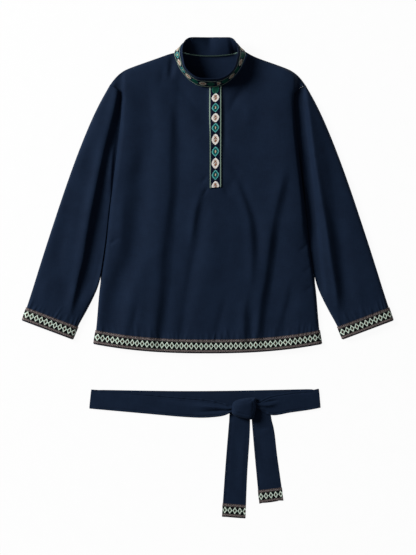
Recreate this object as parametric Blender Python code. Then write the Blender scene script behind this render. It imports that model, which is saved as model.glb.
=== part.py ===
"""Pull-on tunic with a stand collar, laid flat, with its own belt tied in a loop below it.

Tables are in millimetres on the surface that the cloth lies on: x runs across, y runs up
towards the collar and z up from the surface. The solids are in metres, with the origin on
the surface under the middle of the whole layout. Cloth is a thin wall: the back lies on the
surface, the front lies over it with air between, and the sleeves are flat tubes beside them.
"""
import math
from collections import namedtuple

import bmesh
import bpy
import numpy as np

MM = 0.001
CLOTH = 1.2
RIBBON = 1.0
COLLAR_CLOTH = 1.5
BELT_CLOTH = 2.0
SEAM = 0.3
RIM_Z = CLOTH + SEAM
TRIM_LIFT = RIBBON + SEAM
TRIM_RAMP = 13.0
TRIM_INSET = 1.5
TRIM_WIDTH = 32.0
HEM_STEPS = (0.0, TRIM_INSET, TRIM_INSET + 0.5 * TRIM_WIDTH, TRIM_INSET + TRIM_WIDTH,
             TRIM_INSET + TRIM_WIDTH + TRIM_RAMP)
SLEEVE_JOIN_Z = 3.2
SLEEVE_GAP = 0.8
SLEEVE_SECTIONS = 14
FOLD_INSET = 1.2
TIP_SHIFT = (0.15, -0.27)

Point = namedtuple("Point", "out up")

# Half of the body's edge, from the hem up: side seam, underarm, then the armhole.
BODY_SIDE = (
    Point(273.5, -158.4),
    Point(268.0, -125.0),
    Point(262.0, -53.0),
    Point(258.4, -17.0),
    Point(249.2, 43.0),
    Point(242.6, 91.0),
    Point(237.2, 146.0),
    Point(228.4, 218.0),
    Point(218.0, 307.0),
    Point(212.0, 356.0),
    Point(207.0, 405.0),
    Point(208.5, 446.0),
)
PARTING = BODY_SIDE[3]
UNDERARM = BODY_SIDE[7]
ARMHOLE_BEND = BODY_SIDE[-1]
SHOULDER_TIP = Point(234.0, 464.0)
SHOULDER = (
    SHOULDER_TIP,
    Point(222.0, 480.0),
    Point(207.6, 494.4),
    Point(174.0, 508.8),
    Point(132.0, 523.2),
    Point(88.0, 539.0),
)
HEM_CORNER = BODY_SIDE[0]
HEM_DROP = 22.3
HEM_POWER = 2.4

# The groove between the body and the sleeve, above the place where it leaves the body's edge.
GROOVE_TOP = (Point(206.0, 415.0), Point(206.5, 439.0), Point(210.0, 482.0))

# Half of each sleeve edge, from the cuff up.
SLEEVE_OUTER = (
    Point(445.2, -102.0),
    Point(428.4, -52.8),
    Point(398.4, 43.2),
    Point(367.2, 139.2),
    Point(334.8, 235.2),
    Point(298.8, 331.2),
    Point(255.6, 427.2),
    SHOULDER_TIP,
)
SLEEVE_INNER = (
    Point(324.1, -147.6),
    Point(311.3, -116.5),
    Point(289.2, -76.8),
    Point(265.2, -28.8),
)

# The collar's foot and rim, half of the ring from the front middle round to the back middle,
# measured from the neck's centre.
NECK_CENTRE = (5.3, 540.0)
COLLAR_HEIGHT = 44.0
CollarRow = namedtuple("CollarRow", "foot_out foot_up rim_out rim_up")
COLLAR = (
    CollarRow(0.0, -82.3, 0.0, -64.0),
    CollarRow(25.0, -79.2, 21.0, -62.5),
    CollarRow(43.2, -70.0, 36.0, -57.5),
    CollarRow(58.6, -56.0, 49.0, -47.5),
    CollarRow(73.9, -35.0, 60.5, -32.0),
    CollarRow(83.0, -13.0, 65.0, -12.0),
    CollarRow(85.4, 0.0, 65.8, 4.0),
    CollarRow(79.0, 7.0, 62.5, 23.0),
    CollarRow(62.0, 2.0, 52.0, 34.0),
    CollarRow(40.0, -3.5, 36.0, 36.5),
    CollarRow(0.0, -6.7, 0.0, 37.2),
)
FRONT_NECK_ROWS = 7
NECK_INSET = 0.97
BACK_NECK_OVER = 1.0
COLLAR_FOOT_CLEAR = 0.8
COLLAR_OPENING = 0.67
COLLAR_OPENING_HALF = 0.024
COLLAR_LEVELS = (0.0, 0.045, 0.386, 0.727, 1.0)
COLLAR_STATIONS = 33

PLACKET_X = 18.7
PLACKET_HALF = 15.5
PLACKET_END = 214.0
PLACKET_RIBBON_HALF = 14.5
PLACKET_RIBBON_END = 216.0
SLIT_HALF = 0.5
SLIT_END = 235.0
PLACKET_TOP_GAP = 4.2
PIPING_WIDTH = 2.6
PIPING_GAP = 1.0
PIPING_REACH = 58.0

# A panel's x at the hem under each end of the neck edge, and the space between columns.
NECK_COLUMNS = (-92.0, 102.0)
FRONT_SIDE_STEPS = (0.0, 2.5, 7.0, 15.0, 28.0, 48.0)
FRONT_SPACING = 23.0
BACK_SIDE_STEPS = (0.0, 12.0, 40.0)
BACK_SPACING = 34.0
SIDE_BOW = 1.8

# How high the front lies over the back, and a sleeve's top over its underside.
Level = namedtuple("Level", "up height")
BODY_PUFF = (
    Level(-181.0, 10.0),
    Level(-100.0, 14.0),
    Level(50.0, 19.0),
    Level(250.0, 22.0),
    Level(400.0, 19.0),
    Level(490.0, 12.0),
    Level(540.0, 5.0),
)
SLEEVE_PUFF = (
    Level(-150.0, 10.5),
    Level(-100.0, 11.5),
    Level(0.0, 15.0),
    Level(150.0, 19.0),
    Level(350.0, 19.0),
    Level(450.0, 13.0),
)

# How cloth rises from an edge: the share and reach of its round start, then the slow rise.
Rise = namedtuple("Rise", "share reach slow_reach")
SIDE_RISE = Rise(0.62, 9.0, 45.0)
SHOULDER_RISE = Rise(0.7, 6.0, 20.0)
INNER_RISE = Rise(0.6, 6.0, 12.0)
LEAST_PUFF = 2.0
# Above the armhole's bend the groove lies inside the panel, and is shallower at the shoulder.
OUTBOARD_LOW, OUTBOARD_RISE, OUTBOARD_REACH = 0.25, 0.45, 28.0
GROOVE_TOP_DEPTH = 0.4
# A sleeve's crest beside its groove, how far it falls again, and the slope on the body's side.
GROOVE_DEPTH = 0.88
CREST_OUT, CREST_FALL = 42.0, 0.38
INBOARD_RISE, INBOARD_REACH = 0.55, 22.0
GROOVE_FADE = (-95.0, -10.0)
JOIN_REACH = 22.0

# Main folds: a trough's depth and half width, and the line that it runs along.
Fold = namedtuple("Fold", "name depth width route")
BODY_FOLDS = (
    Fold("long left", 5.0, 15.0,
         ((-95, 510), (-97, 470), (-90, 403), (-88, 307), (-91, 187), (-96, 91), (-106, -10),
          (-118, -86), (-124, -114))),
    Fold("left side", 4.0, 14.0,
         ((-146, 331), (-165, 270), (-179, 228), (-174, 116), (-204, 30), (-229, -36),
          (-254, -100))),
    Fold("under placket", 4.0, 13.0,
         ((1, 205), (-19, 173), (-30, 153), (-36, 113), (-46, 62), (-52, 5), (-64, -60),
          (-72, -112))),
    Fold("right of placket", 4.5, 13.0,
         ((40, 271), (66, 211), (100, 160), (112, 120), (117, 77), (119, 30))),
    Fold("long right", 5.0, 14.0,
         ((182, 215), (166, 154), (156, 99), (154, 50), (141, 5), (135, -53), (129, -106))),
    Fold("right hem", 3.0, 12.0, ((118, -50), (100, -77), (88, -118))),
    Fold("right side", 2.5, 12.0, ((186, -30), (180, -60), (170, -114))),
)
LEFT_GROOVE = ((204, 444), (214, 374), (236, 286), (254, 187), (274, 86), (294, 2), (308, -48))
SLEEVE_FOLDS = {
    -1: (
        Fold("outer left", 3.0, 18.0, ((-300, 320), (-325, 225), (-352, 110), (-372, 20))),
    ),
    1: (
        Fold("second groove", 5.0, 15.0,
             ((269, 218), (283, 180), (298, 151), (318, 50), (327, -48), (332, -90))),
    ),
}

BeltEdge = namedtuple("BeltEdge", "x y")
BELT_LEFT_TOP = (
    BeltEdge(-279.0, -267.6),
    BeltEdge(-205.7, -272.4),
    BeltEdge(-42.5, -287.0),
    BeltEdge(1.9, -290.4),
    BeltEdge(30.7, -296.9),
    BeltEdge(56.6, -305.4),
)
BELT_LEFT_BOTTOM = (
    BeltEdge(-283.6, -313.4),
    BeltEdge(-138.5, -326.4),
    BeltEdge(-42.5, -334.6),
    BeltEdge(-9.1, -335.8),
    BeltEdge(17.5, -333.6),
    BeltEdge(46.3, -328.1),
    BeltEdge(56.6, -320.4),
)
BELT_RIGHT_TOP = (
    BeltEdge(266.2, -265.7),
    BeltEdge(245.5, -269.8),
    BeltEdge(219.1, -271.2),
    BeltEdge(179.3, -277.0),
    BeltEdge(146.2, -283.7),
    BeltEdge(118.4, -296.9),
)
BELT_RIGHT_BOTTOM = (
    BeltEdge(270.4, -311.5),
    BeltEdge(245.5, -316.3),
    BeltEdge(196.0, -323.0),
    BeltEdge(148.3, -329.0),
    BeltEdge(134.0, -322.0),
    BeltEdge(118.4, -311.5),
)
BELT_BACK_TOP = (BeltEdge(-275.4, -268.2), BeltEdge(-42.0, -271.4), BeltEdge(262.6, -266.4))
BELT_BACK_BOTTOM = (BeltEdge(-280.0, -312.9), BeltEdge(-42.0, -317.0), BeltEdge(266.8, -311.9))
TAIL_LEFT = (
    (BeltEdge(53.2, -322.0), BeltEdge(43.9, -433.4), BeltEdge(34.1, -573.1)),
    (BeltEdge(102.0, -326.0), BeltEdge(101.5, -360.0), BeltEdge(95.0, -466.6),
     BeltEdge(90.7, -577.2)),
)
TAIL_RIGHT = (
    (BeltEdge(104.0, -322.0), BeltEdge(110.6, -400.1), BeltEdge(123.8, -541.9)),
    (BeltEdge(146.5, -322.0), BeltEdge(155.0, -344.6), BeltEdge(166.1, -422.4),
     BeltEdge(181.9, -534.2)),
)
TAIL_TRIM = 31.0
TURN_UNDER = 2.0
# A front stretch, from its turned end to the knot: stations, then the climb and the gathers.
FRONT_STRETCH_PLACES = np.array((0.0, 0.04, 0.14, 0.26, 0.38, 0.5, 0.62, 0.72, 0.8, 0.87, 0.93,
                                 0.97, 1.0))
FRONT_STRETCH_COLUMNS = 9
GATHER_START = 0.6
GATHER_WAVES, GATHER_PHASE, GATHER_HEIGHT = 2.0, 0.15, 2.6
GATHER_CROWN = 2.5
KNOT_CLIMB = 4.5
KNOT_OUTLINE = (
    (59.5, -299.0), (68.0, -293.2), (81.8, -289.2), (98.0, -286.8), (112.8, -286.3),
    (116.9, -289.2), (116.9, -302.0), (115.9, -315.8), (113.5, -327.0), (110.6, -337.9),
    (101.5, -340.1), (87.0, -337.5), (72.7, -333.6), (57.9, -326.9), (57.6, -312.0),
)
KNOT_CENTRE = (88.3, -312.0)
# The knot's rings from its underside up: how far out, and how high.
KNOT_RINGS = ((0.88, 2.3), (0.97, 5.0), (1.0, 9.0), (0.98, 14.0), (0.9, 18.5), (0.72, 22.0),
              (0.4, 24.0))
KNOT_TOP = 24.5
KNOT_SIDES = 24

NAVY = (0.014, 0.021, 0.045)
TRIM_TAUPE = (0.35, 0.30, 0.27)
TRIM_TEAL = (0.20, 0.33, 0.30)
PIPING_GREEN = (0.42, 0.55, 0.42)
ROUGHNESS = 0.85
SHARP_ANGLE = 40.0

def ease(value):
    """A soft step from 0 to 1."""
    part = np.clip(value, 0.0, 1.0)
    return part * part * (3.0 - 2.0 * part)


def roll(value):
    """A quarter round from 0 to 1."""
    part = np.clip(value, 0.0, 1.0)
    return np.sqrt(1.0 - (1.0 - part) ** 2)


def rise(kind, distance):
    """The share of its full height that cloth has at a distance from its edge."""
    slow = 1.0 - np.exp(-distance / kind.slow_reach)
    return kind.share * roll(distance / kind.reach) + (1.0 - kind.share) * slow


def level(table, up):
    return np.interp(up, [row.up for row in table], [row.height for row in table])


def spline(points, steps=6):
    """A smooth line through the points, as a polyline."""
    knots = np.array([tuple(point) for point in points], float)
    gaps = np.linalg.norm(np.diff(knots, axis=0), axis=1)
    slopes = np.gradient(knots, np.concatenate(([0.0], np.cumsum(gaps))), axis=0)
    part = np.linspace(0.0, 1.0, steps, endpoint=False)[:, None]
    runs = []
    for index, gap in enumerate(gaps):
        start = (2.0 * part ** 3 - 3.0 * part ** 2 + 1.0) * knots[index]
        leave = (part ** 3 - 2.0 * part ** 2 + part) * gap * slopes[index]
        end = (3.0 * part ** 2 - 2.0 * part ** 3) * knots[index + 1]
        arrive = (part ** 3 - part ** 2) * gap * slopes[index + 1]
        runs.append(start + leave + end + arrive)
    return np.vstack(runs + [knots[-1:]])


def closed_spline(points, places):
    """Points on a smooth closed line, at fractional places in the table."""
    knots = np.array(points, float)
    index = np.floor(places).astype(int)
    part = (places - index)[:, None]
    before, start, end, after = (knots[(index + shift) % len(knots)] for shift in (-1, 0, 1, 2))
    return 0.5 * (2.0 * start + (end - before) * part
                  + (2.0 * before - 5.0 * start + 4.0 * end - after) * part ** 2
                  + (3.0 * start - before - 3.0 * end + after) * part ** 3)


def run_of(line):
    """Distance along a polyline at each of its points."""
    return np.concatenate(([0.0], np.cumsum(np.linalg.norm(np.diff(line, axis=0), axis=1))))


def along(line, distances):
    run = run_of(line)
    return np.stack([np.interp(distances, run, column) for column in line.T], axis=-1)


def fractions(line, parts):
    return along(line, np.asarray(parts) * run_of(line)[-1])


def distance_to(line, x, y):
    """Shortest distance from each place to a polyline, and how far along it that is."""
    places = np.stack((x, y), axis=-1)[..., None, :]
    starts = line[:-1]
    steps = np.diff(line, axis=0)
    squares = np.maximum((steps ** 2).sum(axis=1), 1e-9)
    part = np.clip(((places - starts) * steps).sum(axis=-1) / squares, 0.0, 1.0)
    gaps = np.linalg.norm(places - starts - part[..., None] * steps, axis=-1)
    nearest = gaps.argmin(axis=-1)
    lengths = run_of(line)
    far = lengths[:-1] + part * np.diff(lengths)
    pick = nearest[..., None]
    return (np.take_along_axis(gaps, pick, -1)[..., 0],
            np.take_along_axis(far, pick, -1)[..., 0])


def fold_depth(folds, x, y):
    """How far the folds press the cloth down, fading out at both ends of each."""
    total = np.zeros_like(x)
    for fold in folds:
        line = spline(fold.route, 4)
        gap, far = distance_to(line, x, y)
        length = run_of(line)[-1]
        fade = ease(far / (0.25 * length) + 0.15) * ease((length - far) / (0.2 * length) + 0.1)
        total += fold.depth * np.exp(-(gap / fold.width) ** 2) * fade
    return total


def offset_line(line, distance):
    """A polyline moved sideways to its right by a distance."""
    steps = np.gradient(line, axis=0)
    steps /= np.linalg.norm(steps, axis=1)[:, None]
    return line + distance * np.stack((steps[:, 1], -steps[:, 0]), axis=-1)


def hem_up(x):
    return HEM_CORNER.up - HEM_DROP * (1.0 - np.abs(x / HEM_CORNER.out) ** HEM_POWER)


SIDE_LINE = np.vstack((spline(BODY_SIDE), [tuple(SHOULDER_TIP)]))
SIDE_LENGTH = run_of(SIDE_LINE)[-1]
SHOULDER_LINE = spline(SHOULDER)
GROOVE_LINE = np.vstack((spline(BODY_SIDE[:-2]), GROOVE_TOP))
SLEEVE_OUTER_LINE = spline(SLEEVE_OUTER)
BEND_FROM_TIP = math.dist(ARMHOLE_BEND, SHOULDER_TIP)
UNDERARM_RUN = distance_to(SIDE_LINE, np.array(UNDERARM.out), np.array(UNDERARM.up))[1]
ARMHOLE_LENGTH = SIDE_LENGTH - UNDERARM_RUN

# Places across a sleeve, 0 at its outer edge and 1 at its inner edge.
BEND_PLACE = BEND_FROM_TIP / ARMHOLE_LENGTH
TOP_PLACES = (0.0, 0.014, 0.04, 0.08, BEND_PLACE, 0.2, 0.3, 0.4, 0.5, 0.6, 0.7, 0.79, 0.87,
              0.93, 0.965, 0.985, 1.0)
UNDERSIDE_PLACES = (0.0, BEND_PLACE, 0.4, 0.7, 1.0)
CUFF_STEPS = HEM_STEPS[::-1]
FRONT_SEAM_PLACES = (0.79, 0.7, 0.6, 0.5, 0.4, 0.3, 0.2, BEND_PLACE)


def armhole_ups(places):
    """Heights of places along the armhole, counted from the shoulder tip down."""
    points = along(SIDE_LINE, SIDE_LENGTH - np.array(places) * ARMHOLE_LENGTH)
    return sorted(points[:, 1])


def trim_lift(above_edge):
    """The back and the edges ride over the ribbon that goes round a hem or a cuff."""
    return TRIM_LIFT * (1.0 - ease((above_edge - TRIM_INSET - TRIM_WIDTH - 1.0) / TRIM_RAMP))


def body_top(x, y):
    """Height of the front's outer face."""
    out = np.abs(x)
    to_side = distance_to(GROOVE_LINE, out, y)[0]
    to_shoulder = distance_to(SHOULDER_LINE, out, y)[0]
    flank = rise(SIDE_RISE, to_side)
    groove_out = np.interp(y, [point.up for point in GROOVE_TOP],
                           [point.out for point in GROOVE_TOP])
    beyond = (out > groove_out) & (y > GROOVE_TOP[0].up)
    flank = np.where(beyond, OUTBOARD_LOW + OUTBOARD_RISE * ease(to_side / OUTBOARD_REACH), flank)
    depth = np.interp(y, (GROOVE_TOP[1].up, GROOVE_TOP[2].up), (1.0, GROOVE_TOP_DEPTH))
    side = 1.0 - depth * (1.0 - flank)
    rim = RIM_Z + trim_lift(y - hem_up(np.clip(x, -HEM_CORNER.out, HEM_CORNER.out)))
    height = level(BODY_PUFF, y) - RIM_Z - fold_depth(BODY_FOLDS, x, y)
    return rim + np.maximum(height, LEAST_PUFF) * side * rise(SHOULDER_RISE, to_shoulder)


def normals(grid):
    """Unit normals of a grid of points, rows along the first axis."""
    cross = np.cross(np.gradient(grid, axis=1), np.gradient(grid, axis=0))
    return cross / np.linalg.norm(cross, axis=-1)[..., None]


def principled(name, colour):
    material = bpy.data.materials.new(name)
    material.use_nodes = True
    shader = material.node_tree.nodes["Principled BSDF"]
    shader.inputs["Base Color"].default_value = (*colour, 1.0)
    shader.inputs["Roughness"].default_value = ROUGHNESS
    shader.inputs["Metallic"].default_value = 0.0
    material.diffuse_color = (*colour, 1.0)
    return material


def wall(name, outer, inner, colour, wrap=False, dropped=()):
    """A closed wall between two grids of the same size, less the dropped cells."""
    rows, columns, _ = outer.shape
    count = rows * columns
    cells = []
    for row in range(rows - 1):
        for column in range(columns if wrap else columns - 1):
            if (row, column) in dropped:
                continue
            right = (column + 1) % columns
            low, high = row * columns, (row + 1) * columns
            cells.append((low + column, low + right, high + right, high + column))
    edges = {(cell[i], cell[(i + 1) % 4]) for cell in cells for i in range(4)}
    faces = []
    for a, b, c, d in cells:
        faces += [(a, b, c), (a, c, d)]
        faces += [(c + count, b + count, a + count), (d + count, c + count, a + count)]
    for a, b in sorted(edges):
        if (b, a) not in edges:
            faces += [(b, a, a + count), (b, a + count, b + count)]
    points = np.vstack((outer.reshape(-1, 3), inner.reshape(-1, 3))) * MM
    return solid(name, points, faces, colour)


def solid(name, points, faces, colour):
    mesh = bpy.data.meshes.new(name)
    mesh.from_pydata([tuple(point) for point in points], [], faces)
    work = bmesh.new()
    work.from_mesh(mesh)
    loose = [vertex for vertex in work.verts if not vertex.link_faces]
    bmesh.ops.delete(work, geom=loose, context="VERTS")
    bmesh.ops.recalc_face_normals(work, faces=work.faces)
    work.to_mesh(mesh)
    work.free()
    mesh.shade_smooth()
    mesh.set_sharp_from_angle(angle=math.radians(SHARP_ANGLE))
    mesh.materials.append(principled(name, colour))
    item = bpy.data.objects.new(name, mesh)
    bpy.context.scene.collection.objects.link(item)
    return item


def flat(points, z):
    """Points on the surface plane, at a height or heights."""
    return np.concatenate((points, np.broadcast_to(z, points.shape[:-1])[..., None]), axis=-1)


def neck_line(rows, centre, scale=1.0, shift=0.0):
    """A neck edge from its left end to its right end."""
    half = np.array([(row.foot_out * scale, row.foot_up * scale + shift) for row in rows])
    mirrored = half[::-1] * (-1.0, 1.0)
    middle_once = mirrored[:-1] if half[0, 0] == 0.0 else mirrored
    return spline(np.vstack((middle_once, half))) + centre


def side_out(up):
    """How far out the body's edge lies at a height."""
    return np.interp(up, SIDE_LINE[:, 1], SIDE_LINE[:, 0])


def panel_grid(column_x, row_ups, neck, neck_marks):
    """Points of a body panel: sides, hem and top edge are set, the inside is blended.

    A column is named by its x at the hem, and a row by its height on the body's side edge.
    neck_marks pairs a column with a distance along the neck edge, from one end to the other.
    """
    x = np.asarray(column_x)
    marks, places = zip(*neck_marks)
    left = np.vstack((SHOULDER_LINE * (-1.0, 1.0), neck[:1]))
    right = np.vstack((SHOULDER_LINE, neck[-1:]))
    left_part = np.clip((x + HEM_CORNER.out) / (marks[0] + HEM_CORNER.out), 0.0, 1.0)
    right_part = np.clip((HEM_CORNER.out - x) / (HEM_CORNER.out - marks[-1]), 0.0, 1.0)
    top = along(neck, np.interp(x, marks, places))
    top = np.where((x < marks[0])[:, None], fractions(left, left_part), top)
    top = np.where((x > marks[-1])[:, None], fractions(right, right_part), top)
    steps = np.asarray(HEM_STEPS)[:, None]
    narrowing = side_out(HEM_CORNER.up + steps) / HEM_CORNER.out
    band = np.stack((x * narrowing, hem_up(x) + steps), axis=-1)
    base = band[-1]
    low = HEM_CORNER.up + HEM_STEPS[-1]
    ups = np.asarray(row_ups)
    v = ((ups - low) / (SHOULDER_TIP.up - low))[:, None, None]
    u = ((x + HEM_CORNER.out) / (2.0 * HEM_CORNER.out))[None, :, None]
    straight = (1.0 - v) * base[-1, 0] + v * SHOULDER_TIP.out
    across = 2.0 * u - 1.0
    bow = side_out(ups)[:, None, None] - straight
    bow = bow * np.sign(across) * np.abs(across) ** SIDE_BOW
    rest = (1.0 - v) * base + v * top
    rest[..., 0] += bow[..., 0]
    return np.concatenate((band, rest))


def row_up(middle_up, top_up):
    """The side height that names the row that crosses the middle at a height."""
    low = HEM_STEPS[-1]
    part = (np.asarray(middle_up) - hem_up(0.0) - low) / (top_up - hem_up(0.0) - low)
    return HEM_CORNER.up + low + part * (SHOULDER_TIP.up - HEM_CORNER.up - low)


def column_places(steps, middle, spacing):
    """A panel's columns from edge to edge: steps in from each side, and even gaps to the middle."""
    left = [-HEM_CORNER.out + step for step in steps]
    right = [HEM_CORNER.out - step for step in steps[::-1]]

    def between(start, end):
        return list(np.linspace(start, end, round((end - start) / spacing) + 1)[1:-1])

    return left + between(left[-1], middle[0]) + middle + between(middle[-1], right[0]) + right


def front_panel():
    """The front: a puffed wall, slit from the neck down under the placket."""
    neck = neck_line(COLLAR[:FRONT_NECK_ROWS], NECK_CENTRE, NECK_INSET)
    neck_run = run_of(neck)
    top_up = np.interp(PLACKET_X, neck[:, 0], neck[:, 1])
    placket_x = [PLACKET_X + step for step in (-PLACKET_HALF, -SLIT_HALF, SLIT_HALF, PLACKET_HALF)]
    lowest = neck[:, 1] < NECK_CENTRE[1] - 50.0
    placket_runs = np.interp(placket_x, neck[lowest, 0], neck_run[lowest])
    marks = [(NECK_COLUMNS[0], 0.0), *zip(placket_x, placket_runs), (NECK_COLUMNS[1], neck_run[-1])]
    columns = column_places(FRONT_SIDE_STEPS, placket_x, FRONT_SPACING)
    body = np.linspace(HEM_CORNER.up + HEM_STEPS[-1], UNDERARM.up, 13)[1:]
    band_end, ribbon_end, slit_end, band_top = row_up(
        (PLACKET_END, PLACKET_RIBBON_END, SLIT_END, top_up - PLACKET_TOP_GAP), top_up)
    side_ups = sorted([*body, band_end, ribbon_end, slit_end, *armhole_ups(FRONT_SEAM_PLACES),
                       band_top, SHOULDER_TIP.up])
    grid = panel_grid(columns, side_ups, neck, marks)
    band_row, slit_row = (len(HEM_STEPS) + side_ups.index(up) for up in (band_end, slit_end))
    height = body_top(grid[..., 0], grid[..., 1])
    outer = flat(grid, height)
    normal = normals(outer)
    rim = RIM_Z + trim_lift(outer[..., 1] - hem_up(outer[..., 0]))
    low = outer[..., 2] < rim + 0.5
    normal[low, 2] = 0.0
    for edge in (0, -1):
        normal[~low[:, edge], edge] = (0.0, 0.0, 1.0)
    normal /= np.linalg.norm(normal, axis=-1)[..., None]
    inner = outer - CLOTH * normal
    inner[..., 2] = np.maximum(inner[..., 2], rim)
    slit = {(row, columns.index(placket_x[1])) for row in range(slit_row, len(grid) - 1)}
    wall("front", outer, inner, NAVY, dropped=slit)
    return outer, normal, columns, band_row


def back_panel():
    """The back: flat on the surface, raised only over the ribbon at the hem."""
    neck = neck_line(COLLAR[FRONT_NECK_ROWS - 1:][::-1], NECK_CENTRE, shift=BACK_NECK_OVER)
    marks = [(NECK_COLUMNS[0], 0.0), (NECK_COLUMNS[1], run_of(neck)[-1])]
    columns = column_places(BACK_SIDE_STEPS, [PLACKET_X], BACK_SPACING)
    side_ups = list(np.linspace(HEM_CORNER.up + HEM_STEPS[-1], UNDERARM.up, 6)[1:])
    seam_ups = armhole_ups(UNDERSIDE_PLACES[1:-1])
    grid = panel_grid(columns, side_ups + seam_ups + [SHOULDER_TIP.up], neck, marks)
    under = flat(grid, trim_lift(grid[..., 1] - hem_up(grid[..., 0])))
    under[under[..., 2] < 1e-6, 2] = 0.0
    wall("back", under, under + (0.0, 0.0, CLOTH), NAVY)
    return under


def sleeve_edges():
    """Inner edge from the cuff up, and the armhole from the shoulder tip down."""
    beside = offset_line(SIDE_LINE, SLEEVE_GAP)
    run = run_of(SIDE_LINE)
    parting = distance_to(SIDE_LINE, np.array(PARTING.out), np.array(PARTING.up))[1]
    shared = beside[(run > parting + 4.0) & (run < UNDERARM_RUN - 4.0)]
    under = along(offset_line(SIDE_LINE, SEAM), [UNDERARM_RUN])
    inner = np.vstack((spline(SLEEVE_INNER), shared, under))
    armhole_run = np.linspace(0.0, ARMHOLE_LENGTH, 60)
    armhole_run = np.sort(np.append(armhole_run, BEND_FROM_TIP))
    line = along(SIDE_LINE, SIDE_LENGTH - armhole_run)
    shift = np.where((armhole_run < BEND_FROM_TIP)[:, None], TIP_SHIFT, (SEAM, 0.0))
    return inner, armhole_run, line + shift


def sleeve_grid(places, armhole_run, armhole, inner_line):
    """Points across a sleeve from armhole to cuff, and each section's distance to the cuff."""
    places = np.asarray(places)
    outer_length = run_of(SLEEVE_OUTER_LINE)[-1]
    inner_length = run_of(inner_line)[-1]
    upper = np.linspace(1.0, 0.0, SLEEVE_SECTIONS)[:-1] ** 1.1
    outer_run = np.append(CUFF_STEPS[0] + upper * (outer_length - CUFF_STEPS[0]), CUFF_STEPS)
    inner_run = np.append(CUFF_STEPS[0] + upper * (inner_length - CUFF_STEPS[0]), CUFF_STEPS)
    outer_edge = along(SLEEVE_OUTER_LINE, outer_run)[:, None]
    inner_edge = along(inner_line, inner_run)[:, None]
    seam = np.stack([np.interp(places * ARMHOLE_LENGTH, armhole_run, column)
                     for column in armhole.T], axis=-1)
    across = places[None, :, None]
    bulge = seam - ((1.0 - across) * outer_edge[0] + across * inner_edge[0])
    fade = (outer_run / outer_length)[:, None, None]
    return (1.0 - across) * outer_edge + across * inner_edge + fade * bulge


def cuff_distance(x, y):
    """How far a place on a sleeve lies above the cuff's edge."""
    start = np.array(SLEEVE_OUTER[0])
    step = np.array(SLEEVE_INNER[0]) - start
    normal = np.array((-step[1], step[0])) / np.hypot(*step)
    return (x - start[0]) * normal[0] + (y - start[1]) * normal[1]


def sleeve_top(side, x, y, to_armhole):
    """Height of a sleeve's upper face, x counted outwards."""
    groove = spline(LEFT_GROOVE) if side < 0 else GROOVE_LINE
    to_groove = distance_to(groove, x, y)[0]
    to_outer = distance_to(SLEEVE_OUTER_LINE, x, y)[0]
    to_side = distance_to(GROOVE_LINE, x, y)[0]
    slope = ease(to_groove / CREST_OUT) * (1.0 - CREST_FALL * ease(to_groove / CREST_OUT - 1.0))
    if side < 0:
        groove_out = np.interp(-y, [-row[1] for row in LEFT_GROOVE],
                               [row[0] for row in LEFT_GROOVE])
        slope = np.where(x < groove_out, INBOARD_RISE * ease(to_groove / INBOARD_REACH), slope)
    depth = GROOVE_DEPTH * np.interp(y, GROOVE_FADE, (0.0, 1.0))
    flank = 1.0 - depth * (1.0 - slope)
    inner = rise(INNER_RISE, distance_to(spline(SLEEVE_INNER), x, y)[0])
    beside = np.where(y < UNDERARM.up, roll(to_side / 4.0) * 0.6 + 0.4, 1.0)
    height = level(SLEEVE_PUFF, y) - RIM_Z - fold_depth(SLEEVE_FOLDS[side], side * x, y)
    edges = rise(SHOULDER_RISE, to_outer) * inner * beside
    rim = RIM_Z + trim_lift(cuff_distance(x, y))
    free = np.maximum(height, LEAST_PUFF) * flank * edges
    joined = np.maximum(SLEEVE_JOIN_Z, body_top(x, y)) - rim
    blend = 1.0 - ease(to_armhole / JOIN_REACH)
    return rim + (1.0 - blend) * free + blend * joined


def sleeve(name, side):
    """One sleeve as a flat tube: a puffed top, two folded edges and a flat underside."""
    inner_line, armhole_run, armhole = sleeve_edges()
    grid = sleeve_grid(TOP_PLACES, armhole_run, armhole, inner_line)
    x, y = grid[..., 0], grid[..., 1]
    to_armhole = distance_to(armhole, x, y)[0]
    height = sleeve_top(side, x, y, to_armhole)
    rim = RIM_Z + trim_lift(cuff_distance(x, y))
    height = np.maximum(height, rim + 1.0)
    height[:, 0] = rim[:, 0]
    height[:, -1] = rim[:, -1]
    top = flat(grid, height)
    normal = normals(top)
    normal[0] = (0.0, 0.0, 1.0)
    for edge, beside in ((0, 1), (-1, -2)):
        normal[:, edge] = (top[:, edge] - top[:, beside]) * (1.0, 1.0, 0.0)
    normal /= np.linalg.norm(normal, axis=-1)[..., None]
    top_inner = top - CLOTH * normal
    top_inner[..., 2] = np.maximum(top_inner[..., 2], rim + 0.1)
    below = sleeve_grid(UNDERSIDE_PLACES, armhole_run, armhole, inner_line)[:, ::-1]
    across = below[:, -1] - below[:, 0]
    across /= np.linalg.norm(across, axis=1)[:, None]
    below_inner = below.copy()
    for edge, sign in ((0, 1.0), (-1, -1.0)):
        below_inner[:, edge] = below[:, edge] + sign * across * (FOLD_INSET + CLOTH)
        below[:, edge] = below[:, edge] + sign * across * FOLD_INSET
    lift = trim_lift(cuff_distance(below[..., 0], below[..., 1]))
    lift[lift < 1e-6] = 0.0
    outer = np.concatenate((top, flat(below, lift)), axis=1)
    inner = np.concatenate((top_inner, flat(below_inner, lift + CLOTH)), axis=1)
    outward = np.concatenate((normal, np.broadcast_to((0.0, 0.0, -1.0), below.shape[:2] + (3,))),
                             axis=1)
    mirror = (side, 1.0, 1.0)
    wall(name, outer * mirror, inner * mirror, NAVY, wrap=True)
    return outer, outward, mirror


def cuff_ribbon(name, outer, outward, mirror):
    band = slice(-4, -1)
    inside = outer[band] + SEAM * outward[band]
    outside = outer[band] + (SEAM + RIBBON) * outward[band]
    wall(name, outside * mirror, inside * mirror, TRIM_TAUPE, wrap=True)


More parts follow.
